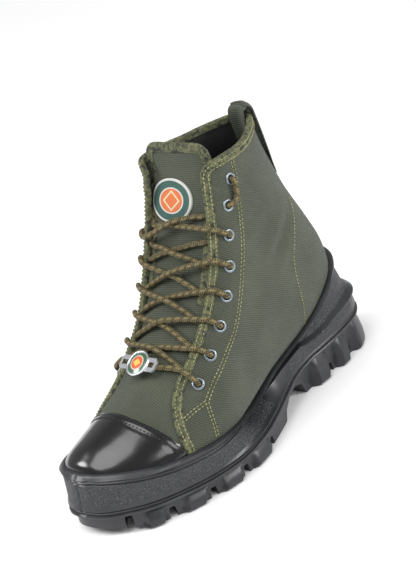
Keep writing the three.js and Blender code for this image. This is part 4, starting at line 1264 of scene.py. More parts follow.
    def tongue_edge_distance(self, points: Array) -> Array:
        """Distance inside the tongue's sides and top."""
        half, centre, above, radius = 29.5, -1, 12, 11
        side = half - np.abs(points[:, 1] - centre)
        top = SIZES.collar_height + above - points[:, 2]
        corner = (side < radius) & (top < radius)
        return np.where(corner, radius - np.hypot(radius - side, radius - top), np.minimum(side, top))


class CupSole:
    """The moulded rubber unit."""

    def __init__(self, sizes: Sizes, ground: Ground, columns: int = 420) -> None:
        """Args: sizes: the boot's sizes. ground: outside of the quarters. columns: how finely it is made."""
        self.sizes = sizes
        self.ground = ground
        self.count = columns
        self.lay_out()

    def lay_out(self) -> None:
        """Columns at an even pitch round the sole's widest line."""
        sizes = self.sizes
        table = np.array(SOLE_LINE)
        knots = table[:, :2] * [sizes.sole_length, sizes.ball_width]
        places = np.linspace(0, len(table), 2000, endpoint=False)
        start = np.floor(places).astype(int)
        fine = uneven(knots, start, places - start, closed=True)
        steps = np.linalg.norm(np.diff(np.vstack([fine, fine[:1]]), axis=0), axis=1)
        along = np.concatenate([[0], np.cumsum(steps)])
        even = np.linspace(0, along[-1], self.count, endpoint=False)
        at = np.interp(even, along, np.append(places, len(table)))
        self.line = np.column_stack([np.interp(even, along, np.append(fine[:, axis], fine[0, axis]))
                                     for axis in (0, 1)])
        run = unit(np.roll(self.line, -1, axis=0) - np.roll(self.line, 1, axis=0))
        self.out = np.column_stack([run[:, 1], -run[:, 0]])
        values = cubic(table[:, 2:], at, closed=True)
        self.ridge = values[:, 0] * sizes.ridge_height
        x = self.line[:, 0]
        self.cup = values[:, 1] * sizes.cup_height
        self.cup -= sizes.waist_dip * smooth_step(x, 126, 151) * (1 - smooth_step(x, 158, 200))
        self.shelf = np.clip(values[:, 2], 0, 1)

    def reach(self, heights: Array) -> Array:
        """How far outside the widest line the quarters lie at each column's height."""
        far = self.sizes.ball_width / 2
        found = []
        for place, out, height in zip(self.line, self.out, heights):
            start = np.array([*(place + out * far), height])
            hit = self.ground.cast(start, np.array([*(-out), 0]))
            found.append(np.nan if hit is None else far - float(np.linalg.norm(start - hit)))
        reach = np.array(found)
        for index in np.where(~np.isnan(reach))[0]:
            around = reach[[index - 2, index - 1, (index + 1) % self.count, (index + 2) % self.count]]
            if np.isfinite(around).any() and abs(reach[index] - np.nanmedian(around)) > 3:
                reach[index] = np.nan
        good = np.where(~np.isnan(reach))[0]
        return np.interp(np.arange(self.count), good, reach[good], period=self.count)

    def blocks(self, lean: float = 0.0) -> Array:
        """How far each lug's side stands out, from 0 to 1, between the grooves. Lean shifts its ends."""
        shape = np.zeros(self.count)
        x = (self.line[:, 0] + lean) / self.sizes.sole_length
        for high, low in zip(LUG_GROOVES[:-1], LUG_GROOVES[1:]):
            if low < 0.25 < high:
                high, low = 0.3, 0.2
            rise = smooth_step(x, low + 0.02, low + 0.028) * (1 - smooth_step(x, high - 0.03, high - 0.02))
            shape = np.maximum(shape, rise)
        shape = np.maximum(shape, smooth_step(x, 0.0, 0.02) * (1 - smooth_step(x, 0.08, 0.094)))
        return shape

    def profile(self) -> tuple[list[tuple[Array, Array]], int, int]:
        """Rows of the side from the tread up, and the rows between which the crumb lies."""
        sizes = self.sizes
        ridge, cup, shelf = self.ridge, self.cup, self.shelf
        fore = 1 - shelf
        one = np.ones(self.count)
        foot_z = cup - sizes.bead_height
        lip = self.reach(cup)
        low = self.reach(cup - sizes.bead_height / 2)
        slope = (low - lip) / (sizes.bead_height / 2)
        stretch = np.minimum(np.hypot(1, slope), 2.2)
        foot = self.reach(foot_z) + sizes.bead * 0.65
        more = 1 + 0.7 * shelf
        block, leaning, high = self.blocks() * more, self.blocks(1.8) * more, self.blocks(4.0) * more
        chamfer = smooth_step(ridge, 14, 17)

        def wall(share: float, out: Array) -> tuple[Array, Array]:
            height = lerp(ridge + 4.4, foot_z, share)
            near = self.reach(height)
            return np.maximum(np.maximum(lerp(-0.5, foot, share), near + 2.6) + out, near + 1.6), height

        rows = [
            (-4.2 * one, 0 * one),
            (-3.4 + 2.2 * block, 0 * one),
            (-2.8 + 3.2 * block, 0.8 * one),
            (-2.7 + 3.9 * block, 2.4 * one),
            (-2.8 + 3.8 * leaning, lerp(2.4, ridge - 5.6, 0.3)),
            (-2.9 + 2.7 * leaning, lerp(2.4, ridge - 5.6, 0.7)),
            (-3.1 + 1.0 * high, ridge - 5.4),
            (-3.2 + 0.2 * high, ridge - 4.5),
            (-2.6 * one, ridge - 3.7),
            (-0.6 * one, ridge - 2.8),
            (0.8 * chamfer, ridge - 2.0),
            (0.9 * chamfer, ridge - 0.9),
            (0.4 * one, ridge - 0.1),
            (-0.8 * one, ridge + 0.4),
            (-0.9 * one, ridge + 1.0),
        ]
        for out, more_out, rise, clear in ((-0.3, 0.4, 1.6, 2.6), (-0.2, 0.6, 2.3, 2.6), (-0.7, 0, 3.0, 2.2),
                                           (-0.1, 0.5, 3.7, 2.6), (-0.1, 0.5, 4.3, 2.6)):
            rows.append((np.maximum(out + more_out * fore, self.reach(ridge + rise) + clear), ridge + rise))
        rows[:9] = [(out - 2.4 * shelf, height) for out, height in rows[:9]]
        start = len(rows)
        x = self.line[:, 0]
        bead_z = np.interp(x, (20, 51, 65, 79, 93, 107, 120, 131, 142, 153, 168),
                           (47, 45, 42, 41, 43, 45, 44, 41, 36.5, 31.5, 26))
        middle = np.minimum((smoothed(bead_z[:, None], 6)[:, 0] - ridge - 4.4) / (foot_z - ridge - 4.4), 0.97)
        proud = 4.2 * (1 - smooth_step(x, 146, 172))
        self.bead_band = (middle, proud)
        hollow = 1.3 * (1 - smooth_step(x, 96, 112))
        for share in np.linspace(0.12, 0.94, 22):
            bead = proud * np.exp(-((share - middle) / 0.085)**2)
            rows.append(wall(float(share), 0.1 + bead - hollow * smooth_step(share, middle + 0.1, middle + 0.24)))
        end = len(rows)
        rows += [
            wall(0.975, -0.7 * one),
            wall(1.0, -0.9 * one),
            (foot + 0.1, foot_z + 0.7),
            (foot + 0.9, foot_z + 1.3),
            (foot + 0.9, foot_z + 1.8),
            (foot + 0.3, foot_z + 2.3),
            (np.minimum(low + sizes.bead * 0.8, foot + 0.9), cup - 3.9),
            (np.minimum(low + sizes.bead * 1.02, foot + 1.4), cup - 3.2),
            (np.minimum(lip + sizes.bead * 1.0 * stretch, foot + 1.2), cup - 2.1),
            (lip + sizes.bead * 0.85 * stretch, cup - 1.1),
            (lip + sizes.bead * 0.6 * stretch, cup - 0.35),
            (lip + sizes.bead * 0.35 * stretch, cup),
            (lip - 1.5 * stretch, cup - 0.1),
            (lip - 2.85 * stretch - 7, np.maximum(cup - 14, 27)),
        ]
        seam = np.zeros(self.count)
        toe = np.where(x > 270)[0]
        seam[toe[np.argmin(np.abs(self.line[toe, 1] + 11))]] = 0.8
        rows[12:-2] = [(out - seam, height) for out, height in rows[12:-2]]
        return rows, start, end

    def build(self, last: Last) -> None:
        """The whole unit: its side, the room for the foot, the arch, toe spring and grooves."""
        rows, start, end = self.profile()
        rings = np.array([np.column_stack([self.line + self.out * out[:, None], height]) for out, height in rows])
        count, around = len(rings), self.count
        points = rings.reshape(-1, 3)
        faces = ring_faces(0, count - 1, around)
        bottom, top = points[:around].mean(axis=0), points[-around:].mean(axis=0)
        points = np.vstack([points, bottom, top])
        for side in range(around):
            after = (side + 1) % around
            faces.append((len(points) - 2, after, side))
            faces.append((len(points) - 1, (count - 1) * around + side, (count - 1) * around + after))
        piece = BENCH.mesh("sole_unit", points, outward(points, faces), Rubber(), angle=28)
        piece.data.materials.append(Rubber(name="rubber_crumb", crumb=1.0, roughness=0.52).material())
        index = np.zeros(len(faces), dtype=np.int32)
        flags = np.repeat((np.arange(count - 1) >= start) & (np.arange(count - 1) < end - 1), around)
        x = self.line[:, 0] / self.sizes.sole_length
        middle, proud = self.bead_band
        shares = np.interp(np.arange(count - 1) + 0.5, np.arange(start, end), np.linspace(0.12, 0.94, end - start))
        smooth = (np.abs(shares[:, None] - middle) < 0.13) & (proud > 0.8) | (x > 0.36) & (x < 0.48)
        index[:len(flags)] = flags & ~smooth.ravel()
        piece.data.polygons.foreach_set("material_index", index)
        self.cut(piece, self.room(last))
        self.cut(piece, self.side_prism(self.toe_points()))
        self.cut(piece, self.side_prism([
            (x * self.sizes.sole_length, rise * self.sizes.ridge_height) for x, rise in ARCH_CURVE]))
        self.cut(piece, self.grooves())
        BENCH.smooth(piece, 28)
        BENCH.done(piece, "rubber", "sole")

    def room(self, last: Last) -> bpy.types.Object:
        """The foot's form with a little play, for the room inside."""
        around = 120
        sheet = last_sheet(last, np.linspace(0, 20, 101), around)
        offset = np.where(sheet.rows <= 6.5, 2.2, 1.4)
        points = sheet.moved(offset)
        first, final = points[:around].mean(axis=0), points[-around:].mean(axis=0)
        count = len(points)
        triangles = sheet.triangles.tolist()
        for side in range(around):
            after = (side + 1) % around
            triangles.append((count, after, side))
            triangles.append((count + 1, count - around + side, count - around + after))
        points = np.vstack([points, first, final])
        return self.tool("room", points, triangles)

    def tool(self, name: str, points: Array, faces: list) -> bpy.types.Object:
        """A cutter, taken away after use."""
        mesh = bpy.data.meshes.new(name)
        mesh.from_pydata(((np.asarray(points) - ORIGIN) * MM).tolist(), [], faces)
        cutter = bpy.data.objects.new(name, mesh)
        bpy.context.scene.collection.objects.link(cutter)
        BENCH.only(cutter)
        bpy.ops.object.mode_set(mode="EDIT")
        bpy.ops.mesh.select_all(action="SELECT")
        bpy.ops.mesh.normals_make_consistent(inside=False)
        bpy.ops.object.mode_set(mode="OBJECT")
        return cutter

    def cut(self, piece: bpy.types.Object, cutter: bpy.types.Object) -> None:
        """Takes a cutter's form out of a piece."""
        BENCH.only(piece)
        change = piece.modifiers.new("cut", "BOOLEAN")
        change.operation, change.solver, change.object = "DIFFERENCE", "EXACT", cutter
        bpy.ops.object.modifier_apply(modifier=change.name)
        bpy.data.objects.remove(cutter, do_unlink=True)
        if not piece.data.polygons:
            raise RuntimeError(f"{piece.name} has lost all its faces in a cut")

    def toe_points(self) -> list[tuple[float, float]]:
        """Outline under the toe spring."""
        sizes = self.sizes
        line = spline([(x * sizes.sole_length, rise * sizes.toe_spring) for x, rise in TOE_CURVE], 3)
        return [tuple(point) for point in line] + [(line[-1][0], -9), (line[0][0], -9)]

    def side_prism(self, outline: Sequence[tuple[float, float]]) -> bpy.types.Object:
        """An outline in x and height, across the whole sole."""
        count = len(outline)
        near = [(x, -95, z) for x, z in outline]
        far = [(x, 95, z) for x, z in outline]
        return self.tool("under", np.array(near + far), self.prism_faces(count))

    def prism_faces(self, count: int) -> list[tuple[int, ...]]:
        """Faces of a prism whose ends have that many corners."""
        sides = [(i, (i + 1) % count, (i + 1) % count + count, i + count) for i in range(count)]
        return [tuple(range(count)), tuple(range(count, 2 * count))[::-1]] + sides

    def grooves(self) -> bpy.types.Object:
        """Wedges between the lugs on both sides."""
        parts = []
        for at in LUG_GROOVES:
            for side in (1, -1):
                own = np.where(self.line[:, 1] * side > 0)[0]
                column = own[np.argmin(np.abs(self.line[own, 0] - at * self.sizes.sole_length))]
                rise = self.sizes.toe_spring * float(smooth_step(at, 0.83, 1))
                out = self.out[column]
                run = np.array([-out[1], out[0]])
                shape = [(-3, -9), (3, -9), (3, rise + 3), (2.2, rise + 7.6), (1.4, rise + 8),
                         (-1.4, rise + 8), (-2.2, rise + 7.6), (-3, rise + 3)]
                verts = [np.array([*(self.line[column] + out * depth + run * across), height])
                         for depth in (-20, 20) for across, height in shape]
                parts.append((np.array(verts), self.prism_faces(len(shape))))
        points, faces = joined(parts)
        return self.tool("grooves", points, faces)


@dataclass
class Trim:
    """Tape on the edges, seams, pull loop and patch."""

    upper: Upper
    thick: float = SIZES.tape_thick

    def build(self) -> None:
        """Makes all the trim."""
        upper = self.upper
        self.olive: list[tuple[Array, list]] = []
        self.dark: list[tuple[Array, list]] = []
        edge = self.fold("edge_tape", upper.edge, upper.ground, SIZES.canvas_wall + SIZES.quarter_step, "binding")
        line = upper.tongue_edge
        self.fold("tongue_tape", line[line[:, 2] > 120], upper.tongue_ground, TONGUE_WALL, None)
        self.rows(*edge)
        self.seams()
        self.cap_seam()
        self.sew("edge_stitches", self.olive, Thread())
        self.sew("cap_stitches", self.dark,
                 Thread(name="thread_black", base=srgb(38, 38, 42), shade=srgb(20, 20, 24)))
        self.patch()
        self.loop()
        self.board()

    def inward(self, line: Array) -> tuple[Array, Array, Array]:
        """Places, normals and directions into the cloth along an edge line."""
        source = line[:, :3]
        path = resample(smoothed(source, 10), TAPE_STEP)
        index = [int(np.argmin(((source - point)**2).sum(axis=1))) for point in path]
        normals = unit(smoothed(unit(line[index, 3:6]), 8))
        into = unit(np.cross(normals, tangents(path)))
        return path, normals, into

    def fold(self, name: str, line: Array, ground: Ground, wall: float,
             node: str | None) -> tuple[Array, Array, Array]:
        """Tape folded over an edge.

        Args:
            name: name of the piece.
            line: data of the edge's points.
            ground: outside of the cloth.
            wall: thickness of the cloth.
            node: node that it stands for.

        Returns:
            Places, normals and inward directions along the edge.
        """
        path, normals, into = self.inward(line)
        path, normals = ground.settle(path)
        thick = self.thick
        shape = (
            (SIZES.tape_width, 0.05), (6.35, thick * 0.8), (5.6, thick), (4.1, thick), (2.7, thick), (1.3, thick),
            (0.3, thick * 0.95), (-0.45, thick * 0.45), (-0.85, -0.6), (-0.85, 0.6 - wall),
            (-0.45, -wall - thick * 0.45), (0.5, -wall - thick), (4.4, -wall - thick), (4.6, -wall - 0.1),
            (0.3, -wall - 0.05), (0.1, 0.0),
        )
        columns = []
        for away, lift in shape:
            if away > 0.6 and lift > -0.5:
                place, normal = ground.walk(path, into, away)
                place, normal = smoothed(place, 3), unit(smoothed(normal, 3))
            else:
                place, normal = path + into * away, normals
            columns.append(place + normal * lift)
        rings = np.stack(columns, axis=1)
        count, around = rings.shape[:2]
        points = rings.reshape(-1, 3)
        faces = ring_faces(0, count - 1, around) + end_faces(count, around)
        along = np.arange(count) * TAPE_STEP
        across = np.concatenate([[0], np.cumsum(np.hypot(*np.diff(np.array(shape), axis=0).T))])
        uv = np.column_stack([np.repeat(along, around), np.tile(across, count)])
        piece = BENCH.mesh(name, points, outward(points, faces), Tape(), uv)
        BENCH.done(piece, "tape", *([node] if node else []))
        return path, normals, into

    def rows(self, path: Array, normals: Array, into: Array) -> None:
        """Two rows of stitches on the tape."""
        for away in (1.5, 4.9):
            place, normal = self.upper.ground.walk(path, into, away)
            place = resample(smoothed(place + normal * self.thick, 3), 0.8)
            _, normal = self.upper.ground.settle(place)
            self.olive.append(stitches(place, normal))

    def on_side(self, table: Sequence[tuple[float, float]], side: int) -> tuple[Array, Array]:
        """A seam drawn in x and height, laid on one side of the quarters."""
        line = spline(table, 1.0)
        found = [self.upper.cloth.cast(np.array([x, 110.0 * side, z]), np.array([0.0, -side, 0.0]))
                 for x, z in line]
        place = np.array([point for point in found if point is not None])
        _, normal = self.upper.cloth.settle(place)
        return smoothed(place, 4), normal

    def seams(self) -> None:
        """Seams of the eyestay, the vamp and the counter on both sides."""
        for side in (1, -1):
            for table, offsets in ((EYESTAY_SEAM, (-1.3, 1.3)), (SEAM_TO_TAPE, (-1.1, 1.1)),
                                   (SEAM_TO_SOLE, (-1.1, 1.1)), (COUNTER_SEAM, (0.0,))):
                place, normal = self.on_side(table, side)
                across = unit(np.cross(normal, tangents(place)))
                for offset in offsets:
                    spots, ups = self.upper.cloth.settle(place + across * offset)
                    self.olive.append(stitches(spots, ups))

    def cap_seam(self) -> None:
        """Two dark rows along the toe cap's seam and the groove that they draw."""
        upper = self.upper
        line = upper.cap_edge
        line = line[line[:, 2] > 44]
        path, _, into = self.inward(line)
        for away in (2.2, 5.6):
            place, normal = upper.cap_ground.walk(path, into, away)
            place = resample(smoothed(place, 4), 0.8)
            place, normal = upper.cap_ground.settle(place)
            self.dark.append(stitches(place - normal * 0.12, normal, 3.0, 2.3, 0.38))

    def sew(self, name: str, parts: list, finish: Finish) -> None:
        """One piece for all stitches of a colour."""
        points, faces = joined(parts)
        BENCH.done(BENCH.mesh(name, points, faces, finish, angle=80), "tape")

    def patch(self) -> None:
        """Round embroidered patch with a raised rim."""
        low, high = (np.array(corner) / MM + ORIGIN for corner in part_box("tongue_patch"))
        middle, normal = self.upper.tongue_ground.nearest((low + high) / 2)
        up = unit(np.array([0.0, 0, 1]) - normal * normal[2])
        side = np.cross(up, normal)
        half = np.array([20.2, 16.4])
        shares = np.concatenate([np.linspace(0, 0.86, 12), [0.89, 0.92, 0.95, 0.98, 0.995, 1.0]])
        lifts = np.interp(shares, [0, 0.5, 0.86, 0.89, 0.93, 0.98, 1], [1.25, 1.2, 1.15, 1.5, 1.7, 1.35, 0.7])
        lifts = lifts + 0.16 * np.exp(-((shares - 0.55) / 0.03)**2)
        around = 96
        turns = circle(around)
        points, uv = [], []
        for share, lift in list(zip(shares, lifts)) + [(1.0, 0.0)]:
            for turn in turns:
                flat = middle + side * half[0] * share * math.cos(turn) + up * half[1] * share * math.sin(turn)
                hit = self.upper.tongue_ground.cast(flat + normal * 12, -normal)
                spot = flat if hit is None else hit
                points.append(spot + normal * (lift if share < 1 or lift > 0 else 0.1))
                uv.append((share * math.cos(turn), share * math.sin(turn)))
        count = len(shares) + 1
        faces = ring_faces(1, count - 1, around)
        faces += [(0, around + s, around + (s + 1) % around) for s in range(around)]
        faces.append(tuple((count - 1) * around + s for s in range(around))[::-1])
        points = np.array(points)
        piece = BENCH.mesh("patch_disc", points, outward(points, faces), PatchCloth(), np.array(uv))
        BENCH.done(piece, "patch", "tongue_patch")

    def loop(self) -> None:
        """One band from inside the collar over its edge and down the back."""
        clear, legs, above, half_thick, bow_size = {1: 6.2, -1: 0.25}, {1: 26, -1: 52}, 10, 0.9, 7
        spots = np.linspace(0, len(LOOP_LINE) - 1, 91)
        places = cubic(np.array([(clear[side] + half_thick + bow * bow_size, side) for side, _, bow in LOOP_LINE]),
                       spots)
        heights = np.array([SIZES.collar_height + rise * (above if rise > 0 else legs[side])
                            for side, rise, _ in LOOP_LINE])
        rises = smoothed(cubic(heights[:, None], spots), 2)[:, 0]
        widths = np.linspace(-9, 9, 9)
        line = []
        for rise, (out, side) in zip(rises, places):
            row = []
            for y in widths:
                start = np.array([-60.0, y, min(rise, SIZES.collar_height - 1)])
                hit = self.upper.ground.cast(start, np.array([1.0, 0, 0]))
                row.append([hit[0] + out * np.clip(side, -1, 1), y, rise])
            line.append(row)
        grid = np.array(line)
        grid = np.stack([smoothed(grid[:, column], 4) for column in range(9)], axis=1)
        along = np.gradient(grid, axis=0)
        across = np.gradient(grid, axis=1)
        normals = unit(np.cross(along, across))
        shape = [(column, sign) for sign, columns in ((1, range(9)), (-1, range(8, -1, -1)))
                 for column in columns]
        thick = [0.35 if column in (0, 8) else half_thick for column in range(9)]
        rings = np.stack([grid[:, column] + normals[:, column] * sign * thick[column] for column, sign in shape],
                         axis=1)
        count, around = rings.shape[:2]
        points = rings.reshape(-1, 3)
        faces = ring_faces(0, count - 1, around) + end_faces(count, around)
        uv = np.column_stack([points[:, 1], points[:, 2]])
        piece = BENCH.mesh("loop_band", points, outward(points, faces), Canvas(name="loop_canvas", slant=0.0), uv)
        BENCH.done(piece, "webbing", "pull_loop")

    def board(self) -> None:
        """Finish of the insole's board."""
        cloth = Cloth(name="insole_board", base=srgb(20, 20, 20), light=srgb(34, 33, 30), scale=700)
        BENCH.dress("insole", cloth)


@dataclass
class Lacing:
    """Eyelets, the lace and its tag."""

    last: Last
    upper: Upper
    radius: float = 2.05
    tape_clear: float = 3.6

    def build(self) -> None:
        """Makes the eyelets, the lace and the tag."""
        places = self.upper.eyelets
        self.seats = {1: places[:8], -1: places[8:]}
        rows = np.arange(7.5, LAST_ROWS, 0.02)
        self.row = {side: [self.row_of(place, rows) for place, _ in self.seats[side]] for side in (1, -1)}
        self.eyelets()
        self.lace()
        self.tag()

    def row_of(self, place: Array, rows: Array) -> float:
        """Row of the last at which the front passes a place."""
        spots = np.array([self.last.front(row, place[1]) for row in rows[::5]])
        best = rows[::5][int(np.argmin(((spots - place)**2).sum(axis=1)))]
        near = rows[np.abs(rows - best) < 0.15]
        spots = np.array([self.last.front(row, place[1]) for row in near])
        return float(near[int(np.argmin(((spots - place)**2).sum(axis=1)))])

    def eyelets(self) -> None:
        """Rolled steel eyelets, one piece for each hole."""
        profile = np.array([
            (2.5, -3.3), (2.5, 0.15), (2.6, 0.6), (2.95, 0.95), (3.45, 1.05), (4.1, 0.92), (4.6, 0.55),
            (4.75, 0.1), (4.7, -0.2), (2.98, -0.2), (2.98, -3.3),
        ])
        around = 40
        turns = circle(around)
        for side, label in ((1, "outer"), (-1, "inner")):
            for number, (place, normal) in enumerate(self.seats[side], 1):
                across = unit(np.cross(normal, [0.3, 0.2, 1.0]))
                over = np.cross(normal, across)
                points = np.array([
                    place + normal * height + (across * math.cos(turn) + over * math.sin(turn)) * reach
                    for reach, height in profile for turn in turns])
                count = len(profile)
                faces = [(r * around + s, r * around + (s + 1) % around,
                          (r + 1) % count * around + (s + 1) % around, (r + 1) % count * around + s)
                         for r in range(count) for s in range(around)]
                piece = BENCH.mesh(f"eyelet_ring_{label}_{number}", points, outward(points, faces), Metal(),
                                   angle=60)
                BENCH.done(piece, "steel", f"eyelet_{label}_{number}")

    def tape_top(self) -> float:
        """How far the tape's outside lies from the last."""
        return SIZES.quarter_step + SIZES.tape_thick

    def depth(self, row: float) -> float:
        """How far the tongue lies behind the last's front."""
        return SIZES.canvas_wall + SIZES.gap + TONGUE_SET_BACK * float(smooth_step(row, 9, 19))

    def edge(self, row: float) -> float:
        """Half the throat's width at a row."""
        return self.upper.cuts.throat_half(self.last.front(row, 0)[0])

    def through(self, side: int, index: int, inside_first: bool) -> list[Array]:
        """The way through an eyelet."""
        place, normal = self.seats[side][index]
        path = [place + normal * 2.9, place + normal * 0.6, place - normal * 2.6]
        return path[::-1] if inside_first else path

    def droop(self, side: int, index: int) -> float:
        """Share of the pitch by which a strand drops between its eyelet and the throat's edge."""
        return 0.1 if index == 2 and side > 0 else 0.24 if side > 0 else lerp(0.62, 0.4, index / 7)

    def over(self, side: int, index: int, other: int) -> list[Array]:
        """From an eyelet over the facing and the throat's edge."""
        rows = self.row[side]
        near = lerp(rows[index], rows[other], self.droop(side, index) * 0.5)
        far = lerp(rows[index], rows[other], self.droop(side, index))
        edge = self.edge(far)
        lift = self.tape_top() + self.radius
        return [
            self.last.lifted(near, side * (edge + self.tape_clear), lift + 0.35),
            self.last.lifted(far, side * (edge - 1.0), lift + 0.1),
        ]

    def under(self, side: int, index: int, other: int, share: float, centre: float) -> list[Array]:
        """From the inside of an eyelet to the throat's edge, under the facing."""
        rows = self.row[side]
        row = lerp(rows[index], rows[other], share)
        half = self.edge(row) - 0.8 - self.radius
        middle = lerp(rows[index], rows[other], share * 0.5)
        low = self.radius + 0.3 - self.depth(row)
        return [
            self.last.lifted(middle, side * (half + SIZES.tape_width), -SIZES.canvas_wall - self.radius),
            self.last.lifted(row, side * half, max(low, -SIZES.canvas_wall - self.radius) + 0.4),
            self.last.lifted(lerp(row, centre, 0.42), side * half * 0.58, low + 0.9),
        ]

    def strand(self, side: int) -> list[Array]:
        """From the bottom eyelet of one side to the hidden end at the top."""
        path = self.through(side, 7, False)
        here = side
        for lower in (7, 6, 5, 4, 3, 2):
            start_over = lower == 2
            end_over = lower > 3
            low = {7: 0.05, 6: -0.15, 5: -0.3, 4: -0.4, 3: -0.4, 2: -0.1}[lower]
            high = {3: (0.6, 0.85), 2: (0.75, 1.05)}.get(lower, (0.24, lerp(0.62, 0.4, (lower - 1) / 7)))
            high = high[0] if here < 0 else high[1]
            row = (lerp(self.row[here][lower], self.row[here][lower - 1], low)
                   + lerp(self.row[-here][lower - 1], self.row[-here][lower], high)) / 2
            start = (self.over(here, lower, lower + 1) if start_over
                     else self.under(here, lower, lower - 1, low, row))
            finish = (self.over(-here, lower - 1, lower) if end_over
                      else self.under(-here, lower - 1, lower, high, row))
            lows = self.radius + 0.3 - self.depth(row)
            lifts = {True: self.tape_top() + self.radius, False: lows + self.radius}
            cross = self.last.lifted(row, 0.0, (lifts[start_over] + lifts[end_over]) / 2 + side * self.radius * 0.95)
            path += start + [cross] + finish[::-1]
            path += self.through(-here, lower - 1, not end_over)
            here = -here
        path.append(self.last.lifted((self.row[here][0] + self.row[here][1]) / 2,
                                     self.seats[here][0][0][1] * 0.5 + self.seats[here][1][0][1] * 0.5, 4.2))
        path += self.through(here, 0, False)
        place, normal = self.seats[here][0]
        path.append(place - normal * 5.5)
        return path

    def lace(self) -> None:
        """One braided cord through all the eyelets."""
        row = (self.row[1][7] + self.row[-1][7]) / 2 - 0.35
        bar = [self.last.lifted(row, 0.0, 3.6)]
        left = self.over(-1, 7, 7)
        right = self.over(1, 7, 7)
        path = self.strand(-1)[::-1] + left + bar + right[::-1] + self.strand(1)
        knots = np.array(path)
        spans = len(knots) - 1
        shares = np.linspace(0, 1, 16, endpoint=False)
        fine = uneven(knots, np.repeat(np.arange(spans), len(shares)), np.tile(shares, spans))
        line = smoothed(resample(np.vstack([fine, knots[-1:]]), LACE_STEP), 7)
        self.length = float(np.linalg.norm(np.diff(line, axis=0), axis=1).sum())
        run = tangents(line)
        side = np.empty_like(line)
        side[0] = unit(np.cross(run[0], [0.1, 0.2, 1.0]))
        for index in range(1, len(line)):
            moved = side[index - 1] - run[index] * float(side[index - 1] @ run[index])
            side[index] = unit(moved)
        up = np.cross(run, side)
        around = 12
        turns = circle(around)
        along = np.arange(len(line)) * LACE_STEP
        phase = 2 * math.pi * along[:, None] / BRAID_PITCH
        swell = 1 + 0.04 * np.sin(phase + 2 * turns) * np.sin(phase - 2 * turns)
        reach = self.radius * swell
        points = (line[:, None] + side[:, None] * (reach * np.cos(turns))[..., None]
                  + up[:, None] * (reach * np.sin(turns))[..., None]).reshape(-1, 3)
        faces = ring_faces(0, len(line) - 1, around) + end_faces(len(line), around)
        uv = np.column_stack([np.repeat(along, around), np.tile(turns / (2 * math.pi) * BRAID_GIRTH, len(line))])
        piece = BENCH.mesh("lace", points, outward(points, faces), Braid(), uv, angle=80)
        nodes = [f"lace_crossing_{number}" for number in range(1, 7)]
        BENCH.done(piece, "lace_cord", *nodes, "lace_bar_bottom", "lace_bar_outer", "lace_bar_inner")
        LOG.info("lace length %.0f mm", self.length)

    def tag(self) -> None:
        """Finish of the tag and its filled dome."""
        plate = BENCH.dress("lace_tag", Metal(name="tag_silver", base=srgb(214, 216, 220), roughness=0.2))
        edge = plate.modifiers.new("soft", "BEVEL")
        edge.width, edge.segments, edge.limit_method = 0.4 * MM, 2, "ANGLE"
        row = (self.row[1][7] + self.row[-1][7]) / 2 - 0.35
        normal = self.last.front_normal(row, -4)
        low, high = (np.array(corner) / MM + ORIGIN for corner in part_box("lace_tag"))
        middle = (low + high) / 2
        across = unit(np.array([0.0, 1, 0]) - normal * normal[1])
        over = np.cross(normal, across)
        around = 56
        turns = circle(around)
        for name, finish, base, profile in (
                ("tag_ring", Metal(name="tag_rim", base=srgb(226, 228, 232), roughness=0.16), 0.7,
                 [(10.2, 0), (10.2, 0.5), (9.8, 0.95), (9.2, 1.1), (8.6, 0.9), (8.3, 0.5), (8.3, 0)]),
                ("tag_dome", Enamel(), 0.6,
                 [(8.35, 0), (8.35, 0.45), (7.5, 0.8), (6, 1.15), (4, 1.4), (2, 1.52), (0.01, 1.56)])):
            points = np.array([
                middle + normal * (base + height) + (across * math.cos(turn) + over * math.sin(turn)) * reach
                for reach, height in profile for turn in turns])
            count = len(profile)
            faces = ring_faces(0, count - 1, around)
            if name == "tag_ring":
                last_ring = (count - 1) * around
                faces += [(last_ring + s, last_ring + (s + 1) % around, (s + 1) % around, s) for s in range(around)]
            else:
                faces += end_faces(count, around)
            uv = np.array([(reach / DOME_RADIUS * math.cos(turn), reach / DOME_RADIUS * math.sin(turn))
                           for reach, _ in profile for turn in turns])
            BENCH.done(BENCH.mesh(name, points, outward(points, faces), finish, uv, angle=50), "silver")


@dataclass(frozen=True)
class View:
    """The camera of the photograph."""

    place: tuple[float, float, float] = (0.65345, 0.67653, 0.54877)
    azimuth: float = 45.43
    elevation: float = 24.736
    roll: float = -15.96
    lens: float = 86.57

    def build(self) -> None:
        """Sets up the camera."""
        azimuth, elevation = math.radians(self.azimuth), math.radians(self.elevation)
        back = Vector((math.cos(elevation) * math.cos(azimuth), math.cos(elevation) * math.sin(azimuth),
                       math.sin(elevation)))
        right = Vector((0, 0, 1)).cross(back).normalized()
        up = back.cross(right)
        turn = math.radians(self.roll)
        across = right * math.cos(turn) + up * math.sin(turn)
        over = up * math.cos(turn) - right * math.sin(turn)
        data = bpy.data.cameras.new("view")
        data.lens, data.sensor_width = self.lens, 36
        camera = bpy.data.objects.new("view", data)
        matrix = Matrix((across, over, back)).transposed().to_4x4()
        matrix.translation = Vector(self.place)
        camera.matrix_world = matrix
        bpy.context.scene.collection.objects.link(camera)
        bpy.context.scene.camera = camera


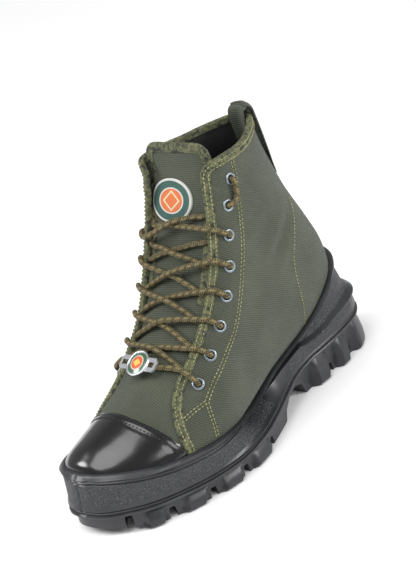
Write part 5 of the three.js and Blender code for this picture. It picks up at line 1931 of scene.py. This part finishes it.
@dataclass(frozen=True)
class Studio:
    """A pale floor and soft lights."""

    sky: float = 0.42
    sun: float = 1.9
    key: float = 8
    fill: float = 7

    def lamp(self, name: str, place: tuple, size: float, power: float) -> None:
        """A soft lamp that looks at the boot."""
        data = bpy.data.lights.new(name, "AREA")
        data.shape, data.size, data.energy = "DISK", size, power
        lamp = bpy.data.objects.new(name, data)
        direction = Vector((0, 0, 0.09)) - Vector(place)
        lamp.rotation_euler = direction.to_track_quat("-Z", "Y").to_euler()
        lamp.location = place
        bpy.context.scene.collection.objects.link(lamp)

    def build(self) -> None:
        """Floor, sky and lamps."""
        bpy.ops.object.select_all(action="DESELECT")
        bpy.ops.mesh.primitive_plane_add(size=14)
        floor = bpy.context.active_object
        floor.name = "floor"
        shader = Shader("floor_paper")
        grain = shader.noise(40, 2, 0.5)
        shader.set(Base_Color=shader.mix(grain, srgb(250, 250, 250), srgb(247, 247, 248)), Roughness=0.9)
        floor.data.materials.append(shader.material)
        world = bpy.data.worlds.new("sky")
        world.use_nodes = True
        world.node_tree.nodes["Background"].inputs["Color"].default_value = (1, 1, 1, 1)
        world.node_tree.nodes["Background"].inputs["Strength"].default_value = self.sky
        bpy.context.scene.world = world
        self.lamp("key", (0.75, -0.75, 0.8), 0.5, self.key)
        self.lamp("side", (0.1, 1.5, 0.9), 0.8, self.fill)
        self.lamp("rim", (-0.55, 1.1, 0.65), 0.28, self.fill * 1.1)
        data = bpy.data.lights.new("overhead", "SUN")
        data.energy, data.angle = self.sun, math.radians(42)
        overhead = bpy.data.objects.new("overhead", data)
        overhead.rotation_euler = Vector((0.42, 0.05, 0.9)).to_track_quat("Z", "Y").to_euler()
        bpy.context.scene.collection.objects.link(overhead)
        bpy.context.scene.view_settings.view_transform = "Standard"


def eyelet_places() -> list[Array]:
    """Middles of the eyelets, from their boxes."""
    places = []
    for label in ("outer", "inner"):
        for number in range(1, 9):
            low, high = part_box(f"eyelet_{label}_{number}")
            middle = (np.array(low) + np.array(high)) / 2 / MM + ORIGIN
            places.append(middle)
    return places


def main() -> None:
    """Builds the boot in order, then the camera and the studio."""
    logging.basicConfig(level=logging.INFO, format="%(message)s")
    View().build()
    last, cuts = Last(SIZES), Cuts(SIZES)
    sheet = last_sheet(last, np.linspace(0, LAST_ROWS, 101), 120)
    ground = Ground(sheet.moved(SIZES.quarter_step), sheet.triangles)
    eyelets = [ground.nearest(middle) for middle in eyelet_places()]
    upper = Upper(last, cuts, eyelets)
    upper.build()
    sole = CupSole(SIZES, upper.ground)
    sole.build(last)
    Trim(upper).build()
    Lacing(last, upper).build()
    Studio().build()


if __name__ == "__main__":
    main()
